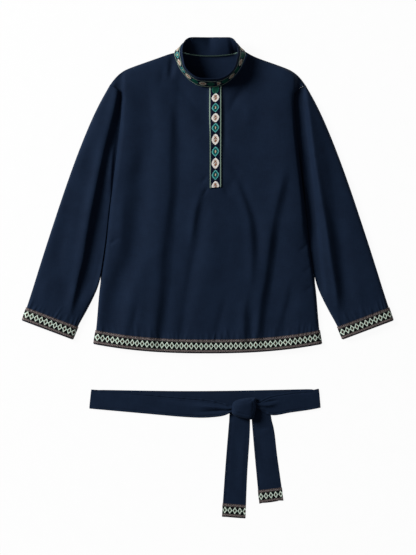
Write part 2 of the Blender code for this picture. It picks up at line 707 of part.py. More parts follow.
def hem_ribbon(front, front_normal, back):
    """One ring round the hem: over the front, and under the back."""
    band = slice(1, 4)
    down = np.array((0.0, 0.0, -1.0))
    under = back[band][:, ::-1]
    corner_out = np.zeros_like(under)
    corner_out[:, 0, 0] = 1.0
    corner_out[:, -1, 0] = -1.0
    rings = []
    for gap in (SEAM + RIBBON, SEAM):
        above = front[band] + gap * front_normal[band]
        below = under + gap * (down + corner_out * 0.8)
        rings.append(np.concatenate((above, below), axis=1))
    wall("hem_ribbon", rings[0], rings[1], TRIM_TAUPE, wrap=True)


def placket(front, normal, columns, low):
    """The band over the slit and its ribbon, both made from the front's own points."""
    first = columns.index(PLACKET_X - PLACKET_HALF)
    area = (slice(low, -1), slice(first, first + 4))
    base, up = front[area], normal[area]
    wall("placket", base + (SEAM + CLOTH) * up, base + SEAM * up, NAVY)
    start = PLACKET_HALF - PLACKET_RIBBON_HALF
    part = start / (PLACKET_HALF - SLIT_HALF)
    strip, strip_up = base[1:].copy(), up[1:].copy()
    for edge, beside in ((0, 1), (-1, -2)):
        strip[:, edge] = (1.0 - part) * base[1:, edge] + part * base[1:, beside]
        strip_up[:, edge] = (1.0 - part) * up[1:, edge] + part * up[1:, beside]
    seat = 2.0 * SEAM + CLOTH
    wall("placket_ribbon", strip + (seat + RIBBON) * strip_up, strip + seat * strip_up,
         TRIM_TEAL)


def collar():
    """The stand band: upright at the front and leaning in, laid nearly flat at the back."""
    right = [(row.foot_out, row.foot_up, row.rim_out, row.rim_up) for row in COLLAR]
    left = [(-row[0], row[1], -row[2], row[3]) for row in right[-2:0:-1]]
    ring = np.array(right + left)
    start = COLLAR_OPENING + COLLAR_OPENING_HALF
    end = COLLAR_OPENING - COLLAR_OPENING_HALF + len(ring)
    stations = closed_spline(ring, np.linspace(start, end, COLLAR_STATIONS))
    foot = stations[:, :2] + NECK_CENTRE
    rim = stations[:, 2:] + NECK_CENTRE
    around = [body_top(foot[:, 0] + dx, foot[:, 1] + dy) for dx, dy in
              ((0, 0), (0, -4), (0, 4), (-4, 0), (4, 0), (0, -8))]
    on_front = foot[:, 1] < NECK_CENTRE[1] + 1.0
    foot_z = np.where(on_front, np.max(around, axis=0) + COLLAR_FOOT_CLEAR, RIM_Z)
    lean = np.linalg.norm(rim - foot, axis=1)
    rim_z = foot_z + np.sqrt(np.maximum(COLLAR_HEIGHT ** 2 - lean ** 2, 9.0))
    low, high = flat(foot, foot_z), flat(rim, rim_z)
    outer = np.stack([(1.0 - part) * low + part * high for part in COLLAR_LEVELS])
    normal = normals(outer)
    middle = np.array((*NECK_CENTRE, 0.0))
    if ((outer[1, 1] - middle)[:2] * normal[1, 1, :2]).sum() < 0.0:
        normal = -normal
    inner = outer - COLLAR_CLOTH * normal
    inner[0, :, 2] = np.maximum(inner[0, :, 2], foot_z)
    wall("collar", outer, inner, NAVY)
    band = slice(1, 4)
    wall("collar_ribbon", (outer + (SEAM + RIBBON) * normal)[band],
         (outer + SEAM * normal)[band], TRIM_TEAL)
    return foot


def neck_piping(foot):
    """A narrow strip on the back, along the back stretch of the collar's foot."""
    across = np.abs(foot[:, 0] - NECK_CENTRE[0])
    line = foot[(across < PIPING_REACH) & (foot[:, 1] > NECK_CENTRE[1] - 15.0)]
    low = flat(np.stack([line - (0.0, step) for step in
                         (PIPING_GAP, PIPING_GAP + PIPING_WIDTH)]), RIM_Z)
    wall("neck_piping", low + (0.0, 0.0, CLOTH), low, PIPING_GREEN)


def across_band(edges, stations, count):
    """Places across a band, at stations along its two edges."""
    one, two = (fractions(spline(edge), stations)[:, None] for edge in edges)
    part = np.linspace(0.0, 1.0, count)[None, :, None]
    return (1.0 - part) * one + part * two


def flat_stretch(name, edges, stations):
    """A stretch of belt that lies flat on the surface."""
    under = flat(across_band(edges, stations, 3), 0.0)
    top = under + (0.0, 0.0, BELT_CLOTH)
    wall(name, top, under, NAVY)
    return top


def turned_end(edge, inboard, low, high):
    """Rows that turn a stretch's end over, from its underside up to its top layer."""
    radius = 0.5 * (high - low)
    places = [(radius + TURN_UNDER, low)]
    for angle in np.linspace(-0.5 * math.pi, 0.5 * math.pi, 6):
        places.append((radius * (1.0 - math.cos(angle)), low + radius * (1.0 + math.sin(angle))))
    return np.array([[(x + inboard * step, y, z) for x, y, _ in edge] for step, z in places])


def belt_front(name, top, bottom, inboard):
    """A front stretch: the turned end, the flat run, and the gathers at the knot."""
    half = 0.5 * BELT_CLOTH
    upper = BELT_CLOTH + SEAM + half
    part = np.linspace(0.0, 1.0, FRONT_STRETCH_COLUMNS)[None, :]
    crown = np.sin(math.pi * part)
    waves = np.cos(2.0 * math.pi * (GATHER_WAVES * part + GATHER_PHASE)) * crown
    near = ease((FRONT_STRETCH_PLACES[:, None] - GATHER_START) / (1.0 - GATHER_START))
    z = upper + near * (KNOT_CLIMB + GATHER_HEIGHT * waves + GATHER_CROWN * crown)
    run = flat(across_band((top, bottom), FRONT_STRETCH_PLACES, FRONT_STRETCH_COLUMNS), z)
    grid = np.concatenate((turned_end(run[0], inboard, half, upper), run[1:]))
    normal = normals(grid)
    wall(name, grid + half * normal, grid - half * normal, NAVY)


def belt():
    """The tied belt's flat loop and its two tails."""
    flat_stretch("belt_back", (BELT_BACK_TOP, BELT_BACK_BOTTOM), np.linspace(0.0, 1.0, 12))
    belt_front("belt_front_left", BELT_LEFT_TOP, BELT_LEFT_BOTTOM, 1.0)
    belt_front("belt_front_right", BELT_RIGHT_TOP, BELT_RIGHT_BOTTOM, -1.0)
    for name, edges in (("left", TAIL_LEFT), ("right", TAIL_RIGHT)):
        length = run_of(spline(edges[0]))[-1]
        ends = (length - TRIM_INSET - TAIL_TRIM, length - TRIM_INSET, length)
        stations = np.append(np.linspace(0.0, 0.8, 9), np.array(ends) / length)
        top = flat_stretch(f"belt_tail_{name}", edges, stations)
        band = top[-3:-1] + (0.0, 0.0, SEAM)
        wall(f"belt_ribbon_{name}", band + (0.0, 0.0, RIBBON), band, TRIM_TAUPE)


def belt_knot():
    """The knot as one rounded solid, flat where it lies on the loop."""
    centre = np.array(KNOT_CENTRE)
    turn = np.linspace(0.0, len(KNOT_OUTLINE), KNOT_SIDES, endpoint=False)
    outline = closed_spline(KNOT_OUTLINE, turn)
    points = [(*(centre + scale * (place - centre)), height)
              for scale, height in KNOT_RINGS for place in outline]
    count = len(outline)
    faces = [tuple(range(count))]
    for ring in range(len(KNOT_RINGS) - 1):
        for index in range(count):
            after = (index + 1) % count
            low, high = ring * count, (ring + 1) * count
            faces.append((low + index, low + after, high + after, high + index))
    tip = len(points)
    points.append((*centre, KNOT_TOP))
    last = (len(KNOT_RINGS) - 1) * count
    faces += [(last + index, last + (index + 1) % count, tip) for index in range(count)]
    solid("belt_knot", np.array(points) * MM, faces, NAVY)


def tunic():
    front, front_normal, columns, band_end = front_panel()
    back = back_panel()
    hem_ribbon(front, front_normal, back)
    placket(front, front_normal, columns, band_end)
    neck_piping(collar())
    for name, side in (("left", -1), ("right", 1)):
        outer, outward, mirror = sleeve(f"sleeve_{name}", side)
        cuff_ribbon(f"cuff_ribbon_{name}", outer, outward, mirror)


for item in list(bpy.data.objects):
    bpy.data.objects.remove(item)
tunic()
belt()
belt_knot()
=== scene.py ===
"""Looks of a pull-on tunic laid flat on a pale surface, with its own tied belt below it.

Tables are in millimetres on the surface, x across, y up towards the collar and z above the
surface, as in the frame. Every cloth piece is a thin shell on the form of the frame's solid,
with its main creases pressed in. Ribbons, placket and stitches lie on those shells.
"""
import math
import random
from collections import namedtuple
from functools import partial

import bmesh
import bpy
import numpy as np
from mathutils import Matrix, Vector
from mathutils.bvhtree import BVHTree


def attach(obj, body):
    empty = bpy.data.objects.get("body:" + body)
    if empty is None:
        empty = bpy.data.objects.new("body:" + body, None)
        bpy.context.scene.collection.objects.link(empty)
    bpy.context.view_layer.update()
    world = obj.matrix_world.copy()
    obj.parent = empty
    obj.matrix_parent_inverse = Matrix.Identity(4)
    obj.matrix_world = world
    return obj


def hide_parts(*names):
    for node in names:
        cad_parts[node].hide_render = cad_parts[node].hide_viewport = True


MM = 0.001
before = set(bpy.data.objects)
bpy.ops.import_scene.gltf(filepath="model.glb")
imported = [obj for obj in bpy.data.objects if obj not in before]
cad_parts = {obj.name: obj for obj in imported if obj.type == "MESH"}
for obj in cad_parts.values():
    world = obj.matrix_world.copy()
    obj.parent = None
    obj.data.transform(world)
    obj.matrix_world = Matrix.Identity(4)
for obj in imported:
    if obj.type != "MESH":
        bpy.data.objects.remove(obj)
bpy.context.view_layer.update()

# The photograph's height in pixels, and the size of one of them on the surface.
PHOTO_HEIGHT = 555
PIXEL = 2.4
VIEW_CENTRE = (0.7, 1.2)
LENS, SENSOR = 300.0, 36.0

# Fine sizes of the cloth and its trims.
WELD = 0.02
RIBBON_CLOTH = 0.8
PLACKET_CLOTH = 1.0
COLLAR_CLOTH = 1.5
SEAM_CLOTH = 0.5
LAID_GAP = 0.25
STITCH_GAP = 0.05
THREAD_CELL = 0.75
RIM_GROWTH = 0.2
HEM_RIBBON_WIDTH = 31.5
OVAL_RIBBON_WIDTH = 28.5
STITCH_LENGTH, STITCH_PITCH, STITCH_THICK = 2.1, 3.0, 0.45

# The hem's edge and the cuffs, as the frame has them.
HEM_HALF, HEM_SIDE_UP, HEM_DROP, HEM_POWER = 273.5, -158.4, 22.3, 2.4
SIDE_SLOPE = -0.165
CUFF_OUTER, CUFF_INNER = (445.2, -102.0), (324.1, -147.6)
CUFF_FLARE = 0.031
TRIM_INSET = 1.5
BAND_INSET = 0.6
NECK_CENTRE = (5.3, 540.0)
SIDES = (("left", -1.0), ("right", 1.0))
ARMHOLE = np.array(((218.0, 307.0), (212.0, 356.0), (207.0, 405.0), (208.5, 446.0),
                    (220.0, 455.0)))

# The body's side below the armhole, where the sleeve lies against it. The back panel is let
# out there by the overlap, which grows over the ease from the near distance inside the line,
# and over the end's length from the low end up.
GROOVE = np.array(((212.0, 356.0), (218.0, 307.0), (228.4, 218.0), (237.2, 146.0), (242.6, 91.0),
                   (249.2, 43.0), (258.4, -17.0)))
GROOVE_OVERLAP, GROOVE_NEAR, GROOVE_EASE, GROOVE_END = 4.0, 6.0, 4.0, 40.0

# The cord over the back neck seam, inside the collar.
PIPING = ((-68, 545.5), (-58, 540.6), (-30, 535.0), (5, 532.6), (42, 534.6), (67, 538.8),
          (76, 542))

# Where a belt stretch's end is drawn in under the knot: places beyond the limit on an axis
# are moved by the pull, and lifted, over the reach.
TUCK_REACH = 20.0
BELT_TUCKS = {"belt_front_left": (0, 46.0, 6.0, 0.0), "belt_front_right": (0, -128.0, -7.0, 0.0),
              "belt_tail_left": (1, -345.0, 14.0, 1.8), "belt_tail_right": (1, -345.0, 16.0, 1.8)}

# A crease: height above (or depth below) the cloth, its reach to each side of the line that
# it runs along, and how sharp its crest is (2 is round, 1 is a sharp fold). It fades out
# towards both ends, over the fade's length or a share of a short crease.
CREASE_FADE, CREASE_FADE_SHARE, ROUTE_STEPS = 80.0, 0.45, 4
Crease = namedtuple("Crease", "name height left right sharp route")
BODY_CREASES = (
    Crease("long left trough", -5.8, 27.0, 14.0, 1.9,
           ((-57, 520), (-65, 470), (-68, 400), (-65, 300), (-68, 200), (-74, 150), (-76, 100),
            (-82, 50), (-84, 0), (-91, -50), (-105, -130), (-121, -210))),
    Crease("long left crest", 3.8, 13.0, 19.0, 2.0,
           ((-94, 440), (-92, 350), (-95, 300), (-96, 200), (-102, 150), (-108, 100), (-114, 50),
            (-116, 0), (-121, -50), (-131, -130), (-142, -210))),
    Crease("left side trough", -9.5, 24.0, 20.0, 2.0,
           ((-148, 330), (-154, 250), (-158, 200), (-166, 150), (-169, 100), (-179, 50), (-202, 0),
            (-216, -50), (-232, -110), (-250, -190))),
    Crease("left side crest", 2.4, 12.0, 16.0, 2.0,
           ((-204, 230), (-208, 150), (-212, 90), (-224, 35))),
    Crease("left low swell", 2.4, 18.0, 18.0, 2.0,
           ((-180, 10), (-190, -50), (-200, -110), (-210, -190))),
    Crease("check mark", -2.4, 6.0, 3.0, 1.4, ((-240, 74), (-224, 88), (-206, 95))),
    Crease("placket foot trough", -3.8, 17.0, 11.0, 1.9,
           ((5, 212), (-3, 196), (-15, 150), (-21, 100), (-31, 50), (-42, 0), (-49, -50),
            (-55, -90), (-61, -126), (-73, -200))),
    Crease("middle crest", 2.0, 24.0, 26.0, 2.0, ((14, 150), (12, 80), (4, 10), (-10, -60))),
    Crease("placket right trough", -2.4, 12.0, 9.0, 1.8,
           ((46, 300), (62, 260), (78, 225), (94, 190), (111, 150), (120, 100), (122, 50),
            (120, 10))),
    Crease("placket right crest", 3.2, 10.0, 13.0, 1.8,
           ((48, 280), (64, 248), (80, 205), (95, 155), (103, 100), (105, 45), (104, 0),
            (98, -50))),
    Crease("long right trough", -2.6, 34.0, 12.0, 1.8,
           ((206, 290), (193, 210), (180, 150), (171, 100), (165, 50), (159, 0), (150, -50),
            (144, -90), (139, -130), (130, -210))),
    Crease("long right depth", -3.8, 34.0, 12.0, 1.8,
           ((178, 140), (171, 100), (165, 50), (159, 0), (150, -50), (144, -90), (139, -130),
            (130, -210))),
    Crease("long right crest", 4.0, 10.0, 20.0, 1.8,
           ((188, 280), (172, 210), (158, 150), (149, 100), (142, 50), (136, 0), (126, -50),
            (118, -120), (110, -200))),
    Crease("right chest swell", 8.0, 12.0, 70.0, 2.0,
           ((208, 560), (205, 440), (203, 360), (209, 300), (218, 220), (224, 140), (228, 60))),
    Crease("right hem crest", 4.2, 9.0, 14.0, 1.9,
           ((100, -20), (88, -70), (84, -130), (78, -200))),
    Crease("right hem trough", -4.4, 12.0, 9.0, 2.0,
           ((118, -60), (108, -90), (106, -130), (100, -200))),
    Crease("right low trough", -5.0, 18.0, 9.0, 2.0,
           ((208, 10), (198, -50), (188, -90), (178, -130), (162, -200))),
    Crease("right side nick", -1.5, 5.0, 5.0, 1.4, ((244, 86), (230, 72), (214, 60))),
    Crease("right side low nick", -1.5, 5.0, 5.0, 1.4, ((257, -14), (245, -24), (228, -34))),
    Crease("right side mid nick", -1.2, 5.0, 5.0, 1.4, ((252, 32), (240, 20), (222, 11))),
    Crease("neck left drag", -4.2, 24.0, 11.0, 1.8,
           ((-82, 486), (-60, 452), (-34, 418), (-6, 380))),
    Crease("neck left crest", 1.6, 14.0, 14.0, 2.0, ((-82, 440), (-62, 400), (-40, 360))),
    Crease("neck right drag", -3.2, 12.0, 9.0, 1.7, ((96, 490), (80, 450), (62, 420), (46, 380))),
    Crease("neck right crest", 1.6, 16.0, 14.0, 2.0, ((112, 440), (98, 390), (84, 330))),
    Crease("placket side", -2.2, 8.0, 4.0, 1.6, ((42, 470), (40, 364), (43, 270))),
    Crease("shoulder left tuck", -8.0, 7.0, 6.0, 1.8,
           ((-84, 548), (-86, 508), (-92, 470))),
    Crease("shoulder left drag", -1.6, 10.0, 8.0, 1.7, ((-104, 520), (-108, 490), (-118, 450))),
    Crease("shoulder right tuck", -2.2, 6.0, 6.0, 1.6, ((96, 540), (94, 508), (100, 480))),
    Crease("chest left hollow", -6.5, 19.0, 32.0, 2.0,
           ((-148, 480), (-142, 400), (-136, 350), (-142, 270))),
    Crease("left shoulder end", -12.0, 6.0, 10.0, 2.0,
           ((-208, 590), (-210, 490), (-210, 450), (-204, 400))),
    Crease("right shoulder end", -6.0, 8.0, 8.0, 2.0,
           ((217, 590), (220, 490), (218, 450), (213, 400))),
    Crease("left chest swell", 3.0, 30.0, 9.0, 2.0,
           ((-198, 500), (-199, 420), (-200, 350), (-208, 280), (-218, 200))),
    Crease("placket foot crest", 3.0, 8.0, 12.0, 1.9,
           ((0, 236), (-19, 200), (-32, 150), (-40, 100), (-50, 50))),
    Crease("placket left side", -7.0, 6.0, 30.0, 2.0,
           ((0, 500), (-2, 440), (0, 380), (2, 330))),
    Crease("left low crest", 2.0, 14.0, 12.0, 1.9,
           ((-71, 0), (-79, -50), (-87, -116), (-95, -200))),
    Crease("left low trough", -1.8, 8.0, 8.0, 1.8,
           ((-160, -30), (-172, -80), (-180, -124), (-192, -200))),
    Crease("middle low trough", -1.8, 10.0, 9.0, 1.8,
           ((48, -20), (38, -70), (24, -124), (8, -200))),
    Crease("placket foot left nick", -1.8, 4.0, 4.0, 1.4, ((2, 250), (-8, 236), (-18, 222))),
    Crease("placket foot low nick", -1.6, 4.0, 4.0, 1.4, ((2, 222), (-6, 206), (-14, 190))),
    Crease("placket foot right nick", -1.8, 4.0, 4.0, 1.4, ((36, 218), (46, 206), (58, 196))),
)
SLEEVE_CREASES = {
    "left": (
        Crease("groove", -12.0, 11.0, 15.0, 2.2,
               ((-190, 560), (-194, 484), (-194, 440), (-198, 400), (-212, 300), (-232, 200),
                (-251, 100), (-263, 40), (-273, 0), (-291, -60))),
        Crease("crest", 8.5, 8.0, 14.0, 1.9,
               ((-198, 600), (-205, 500), (-217, 440), (-226, 400), (-240, 345), (-251, 300),
                (-272, 200), (-291, 100), (-301, 40), (-311, 0), (-325, -60), (-336, -110))),
        Crease("crest back", -3.5, 14.0, 14.0, 2.0,
               ((-268, 360), (-278, 300), (-296, 200), (-317, 100), (-341, 0))),
        Crease("outer trough", -3.4, 22.0, 16.0, 2.0,
               ((-262, 350), (-282, 290), (-308, 200), (-338, 100), (-352, 40), (-346, 0),
                (-352, -90))),
        Crease("outer low crest", 1.8, 14.0, 14.0, 2.0, ((-376, 20), (-392, -40), (-398, -80))),
    ),
    "right": (
        Crease("groove", -11.0, 9.0, 18.0, 2.8,
               ((218, 560), (223, 484), (224, 440), (229, 400), (240, 300), (252, 200), (259, 100),
                (263, 40), (268, 0), (277, -60))),
        Crease("crest", 4.6, 10.0, 8.0, 1.8,
               ((231, 470), (236, 430), (241, 400), (254, 300), (271, 200), (288, 100), (296, 40),
                (303, 0), (310, -50), (311, -100))),
        Crease("second trough", -2.6, 24.0, 14.0, 1.9,
               ((264, 380), (286, 300), (303, 200), (315, 100), (323, 40), (327, 0), (334, -50),
                (336, -110))),
        Crease("outer low crest", 1.4, 16.0, 16.0, 2.0, ((352, 10), (368, -70))),
    ),
}
BELT_CREASES = (
    Crease("left gather one", -2.6, 3.5, 3.5, 1.5, ((-60, -290), (0, -300), (56, -308))),
    Crease("left gather two", 2.2, 4.0, 4.0, 1.7, ((-40, -306), (10, -309), (56, -312))),
    Crease("left gather three", -2.4, 3.5, 3.5, 1.5, ((-30, -322), (20, -319), (56, -315))),
    Crease("left upper fold", -1.4, 5.0, 5.0, 1.6, ((-170, -284), (-90, -292), (-10, -300))),
    Crease("right gather one", -2.6, 3.0, 3.0, 1.5, ((118, -302), (140, -298), (176, -292))),
    Crease("right gather two", -3.2, 2.6, 4.0, 1.3, ((117, -311), (132, -319), (148, -328))),
    Crease("right gather crest", 2.0, 4.0, 4.0, 1.7, ((120, -306), (142, -306), (170, -302))),
    Crease("tail left shade", -1.0, 12.0, 12.0, 2.0, ((62, -350), (70, -420), (60, -520))),
    Crease("tail left crest", 0.9, 9.0, 9.0, 2.0, ((88, -360), (84, -440), (80, -540))),
    Crease("tail right crease", -1.8, 5.0, 5.0, 1.6, ((112, -352), (128, -360), (150, -358))),
    Crease("tail right drag", -1.4, 6.0, 8.0, 1.7, ((118, -346), (126, -400), (140, -470))),
)
KNOT_CREASES = (
    Crease("wrap fold", -1.4, 3.0, 2.2, 1.5, ((104, -285), (109, -300), (108, -318), (101, -330))),
    Crease("lower fold", -1.5, 2.4, 3.2, 1.5, ((58, -316), (72, -322), (88, -327), (104, -331))),
    Crease("upper dip", -0.9, 4.0, 4.0, 1.8, ((60, -296), (72, -290), (86, -288))),
    Crease("wrap crest", 0.8, 7.0, 7.0, 2.0, ((64, -300), (80, -304), (98, -312))),
    Crease("corner pinch", -1.2, 2.4, 2.4, 1.5, ((112, -287), (104, -292), (96, -294))),
)

# Near an edge a crease keeps only a share of its depth, and all of it a run further up.
HEM_RUN, HEM_SHARE = 60.0, 0.75
BAND_RUN, BAND_SHARE = 40.0, 0.35

# Ranges that the puckers above a ribbon are drawn from: sideways lean for each millimetre up,
# length, width and height, and then the step to the next one as a share of the spacing.
PUCKER_RANGES = ((-0.25, 0.25), (18.0, 42.0), (2.4, 4.0), (0.9, 1.9))
PUCKER_STEP = (0.6, 1.5)
# They start below the ribbon's upper edge, rise over a short run, and end above it.
PUCKER_START, PUCKER_RISE, PUCKER_END = 6.0, 8.0, 60.0
CUFF_SPAN = 128.0

# When a solid is rounded: the angle up to which triangles join into four-sided faces, the
# least angle of a border in radians, its sharpness, and how upright an upper face's normal is.
JOIN_ANGLE, BORDER_ANGLE, BORDER_CREASE, UPPER_FACE = 70.0, 0.7, 0.32, 0.2
# When a border line is followed: its least angle and edge length, how steep an edge may be,
# and the cosine between neighbours that still go on in one line.
LINE_ANGLE, SHORTEST_BORDER, LINE_RISE, LINE_TURN = 0.9, 2.3, 0.6, -0.6
# How a shell's rim is told from its faces, by how upright its normals are.
RIM_BASE, RIM_FALL = 1.4, 1.8

# Where creases are pressed in: the floors under the outer and under the inner face, how far
# below the inner one a point still moves, the room that gives a crest its full height, and the
# least room.
FRONT_FLOORS, SLEEVE_FLOORS = (2.8, 1.6), (3.4, 2.2)
UNDER_FLOOR, FULL_ROOM, LEAST_ROOM = 0.2, 5.0, 0.3

# Rays that find a surface's height start at the probe, in metres. A line that starts beside
# the cloth takes the first height.
PROBE, FIRST_HEIGHT = 0.2, 2.0


def smooth_line(points, steps):
    """A smooth line through the points, as a polyline."""
    knots = np.array(points, float)
    if len(knots) < 3:
        return knots
    gaps = np.linalg.norm(np.diff(knots, axis=0), axis=1)
    slopes = np.gradient(knots, run_of(knots), axis=0)
    part = np.linspace(0.0, 1.0, steps, endpoint=False)[:, None]
    runs = []
    for index, gap in enumerate(gaps):
        runs.append((2 * part ** 3 - 3 * part ** 2 + 1) * knots[index]
                    + (part ** 3 - 2 * part ** 2 + part) * gap * slopes[index]
                    + (3 * part ** 2 - 2 * part ** 3) * knots[index + 1]
                    + (part ** 3 - part ** 2) * gap * slopes[index + 1])
    return np.vstack(runs + [knots[-1:]])


def closed_spline(points, places):
    """Points on a smooth closed line, at fractional places in the table."""
    index = np.floor(places).astype(int)
    part = (places - index)[:, None]
    before, start, end, after = (points[(index + shift) % len(points)] for shift in (-1, 0, 1, 2))
    return 0.5 * (2.0 * start + (end - before) * part
                  + (2.0 * before - 5.0 * start + 4.0 * end - after) * part ** 2
                  + (3.0 * start - before - 3.0 * end + after) * part ** 3)


def run_of(line):
    """Distance along a polyline at each of its points."""
    return np.concatenate(([0.0], np.cumsum(np.linalg.norm(np.diff(line, axis=0), axis=1))))


def along(line, distances):
    """Points of a polyline at distances along it."""
    run = run_of(line)
    return np.stack([np.interp(distances, run, column) for column in line.T], axis=-1)


def ease(value):
    """A soft step from 0 to 1."""
    part = np.clip(value, 0.0, 1.0)
    return part * part * (3.0 - 2.0 * part)


def beside(line, x, y):
    """Signed distance of places from a line, positive on its left, and how far along they are."""
    best = np.full(x.shape, 1e9)
    signed, far = np.zeros(x.shape), np.zeros(x.shape)
    lengths = run_of(line)
    for index in range(len(line) - 1):
        step = line[index + 1] - line[index]
        size = max(np.hypot(*step), 1e-6)
        dx, dy = x - line[index, 0], y - line[index, 1]
        part = np.clip((dx * step[0] + dy * step[1]) / size ** 2, 0.0, 1.0)
        gap = np.hypot(dx - part * step[0], dy - part * step[1])
        nearer = gap < best
        side = np.sign(step[0] * dy - step[1] * dx)
        best = np.where(nearer, gap, best)
        signed = np.where(nearer, gap * np.where(side == 0, 1.0, side), signed)
        far = np.where(nearer, lengths[index] + part * size, far)
    return signed, far


def pressed(creases, x, y):
    """How far the creases lift or press the cloth at each place."""
    total = np.zeros(x.shape)
    for crease in creases:
        line = smooth_line(crease.route, ROUTE_STEPS)
        length = run_of(line)[-1]
        gap, far = beside(line, x, y)
        reach = np.where(gap > 0.0, crease.left, crease.right)
        profile = np.exp(-np.abs(gap / reach) ** crease.sharp)
        end = min(CREASE_FADE, CREASE_FADE_SHARE * length)
        fade = ease(far / end) * ease((length - far) / end)
        total += crease.height * profile * fade
    return total


def hem_up(x):
    """How far up the hem's edge lies."""
    return HEM_SIDE_UP - HEM_DROP * (1.0 - np.abs(np.clip(x / HEM_HALF, -1.0, 1.0)) ** HEM_POWER)


def cuff_frame(side):
    """The cuff edge's start, its direction towards the body, the way up the sleeve, its length."""
    start = np.array(CUFF_OUTER) * (side, 1.0)
    across = np.array(CUFF_INNER) * (side, 1.0) - start
    length = np.hypot(*across)
    across /= length
    return start, across, side * np.array((across[1], -across[0])), length


def seam_puckers(seed, span, first, spacing):
    """Puckers above a ribbon: place along it, lean, length, width and height of each."""
    draw = random.Random(seed)
    place = first
    rows = []
    while place < span:
        rows.append((place, *(draw.uniform(*limits) for limits in PUCKER_RANGES)))
        place += spacing * draw.uniform(*PUCKER_STEP)
    return rows


def puckered(rows, place, above):
    """Lift of puckers at a place along a ribbon and a height above its upper edge."""
    total = np.zeros(place.shape)
    near = (above > -PUCKER_START) & (above < PUCKER_END)
    for start, lean, length, width, height in rows:
        gap = place[near] - start - lean * above[near]
        fade = ease(1.0 - above[near] / length)
        fade *= ease((above[near] + PUCKER_START) / PUCKER_RISE)
        total[near] += height * np.exp(-(gap / width) ** 2) * fade
    return total


HEM_PUCKERS = seam_puckers(seed=11, span=2.0 * HEM_HALF, first=6.0, spacing=12.5)
CUFF_PUCKERS = {"left": seam_puckers(seed=5, span=CUFF_SPAN, first=5.0, spacing=9.5),
                "right": seam_puckers(seed=8, span=CUFF_SPAN, first=7.0, spacing=9.5)}


def kept_share(height, run, share):
    """What a crease keeps of its depth at a height over the line where it keeps only a share."""
    return ease(height / run) * (1.0 - share) + share


def body_field(x, y):
    """Lift of the front's creases and puckers."""
    above = y - hem_up(x) - TRIM_INSET - HEM_RIBBON_WIDTH
    drawn = kept_share(y - HEM_SIDE_UP + HEM_RUN, HEM_RUN, HEM_SHARE)
    low = kept_share(above + HEM_RIBBON_WIDTH, BAND_RUN, BAND_SHARE)
    return pressed(BODY_CREASES, x, y) * drawn * low + puckered(HEM_PUCKERS, x + HEM_HALF, above)


def sleeve_field(name, side, x, y):
    """Lift of a sleeve's creases and puckers."""
    start, across, up, _ = cuff_frame(side)
    place = (x - start[0]) * across[0] + (y - start[1]) * across[1]
    above = (x - start[0]) * up[0] + (y - start[1]) * up[1] - TRIM_INSET - HEM_RIBBON_WIDTH
    low = kept_share(above + HEM_RIBBON_WIDTH, BAND_RUN, BAND_SHARE)
    return pressed(SLEEVE_CREASES[name], x, y) * low + puckered(CUFF_PUCKERS[name], place, above)


def points_of(mesh):
    """A mesh's points in millimetres."""
    flat = np.empty(len(mesh.vertices) * 3)
    mesh.vertices.foreach_get("co", flat)
    return flat.reshape(-1, 3) / MM


def put_points(mesh, points):
    mesh.vertices.foreach_set("co", (points * MM).ravel())
    mesh.update()


def normals_of(mesh):
    flat = np.empty(len(mesh.vertices) * 3)
    mesh.vertex_normals.foreach_get("vector", flat)
    return flat.reshape(-1, 3)


def new_piece(name, mesh):
    piece = bpy.data.objects.new(name, mesh)
    bpy.context.scene.collection.objects.link(piece)
    return piece


def plain_mesh(piece):
    """Turns a piece with its modifiers into a plain mesh."""
    evaluated = piece.evaluated_get(bpy.context.evaluated_depsgraph_get())
    mesh = bpy.data.meshes.new_from_object(evaluated)
    mesh.name = piece.name
    piece.modifiers.clear()
    piece.data = mesh
    return piece


def welded(node):
    """A frame solid with its doubled points welded, to work on."""
    work = bmesh.new()
    work.from_mesh(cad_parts[node].data)
    bmesh.ops.remove_doubles(work, verts=work.verts, dist=WELD * MM)
    return work


def written(work, mesh):
    """Ends work on a mesh by writing it out."""
    work.to_mesh(mesh)
    work.free()
    return mesh


def rounded_copy(name, node, levels, finer_top=False, border=BORDER_CREASE):
    """A welded copy of a frame solid in four-sided faces, rounded by subdivision."""
    work = welded(node)
    bmesh.ops.join_triangles(work, faces=work.faces, angle_shape_threshold=math.pi,
                             angle_face_threshold=math.radians(JOIN_ANGLE))
    crease = work.edges.layers.float.new("crease_edge")
    corner = work.verts.layers.float.new("crease_vert")
    for edge in work.edges:
        if len(edge.link_faces) == 2 and edge.calc_face_angle() > BORDER_ANGLE:
            edge[crease] = border
    for vertex in work.verts:
        if sum(edge[crease] > 0.0 for edge in vertex.link_edges) > 2:
            vertex[corner] = 1.0
    piece = new_piece(name, written(work, bpy.data.meshes.new(name)))
    rounding = piece.modifiers.new("rounding", "SUBSURF")
    rounding.levels = rounding.render_levels = levels
    plain_mesh(piece)
    if finer_top:
        work = bmesh.new()
        work.from_mesh(piece.data)
        upper = {edge for face in work.faces if face.normal.z > UPPER_FACE
                 for edge in face.edges}
        bmesh.ops.subdivide_edges(work, edges=list(upper), cuts=1, use_grid_fill=True)
        written(work, piece.data)
    return piece


def grown(piece):
    """Pushes a shell's rounded rim out again, so that seams close up."""
    points = points_of(piece.data)
    normal = normals_of(piece.data)
    rim = ease(RIM_BASE - RIM_FALL * np.abs(normal[:, 2]))
    points[:, :2] += normal[:, :2] * (RIM_GROWTH * rim)[:, None]
    put_points(piece.data, points)
    return piece


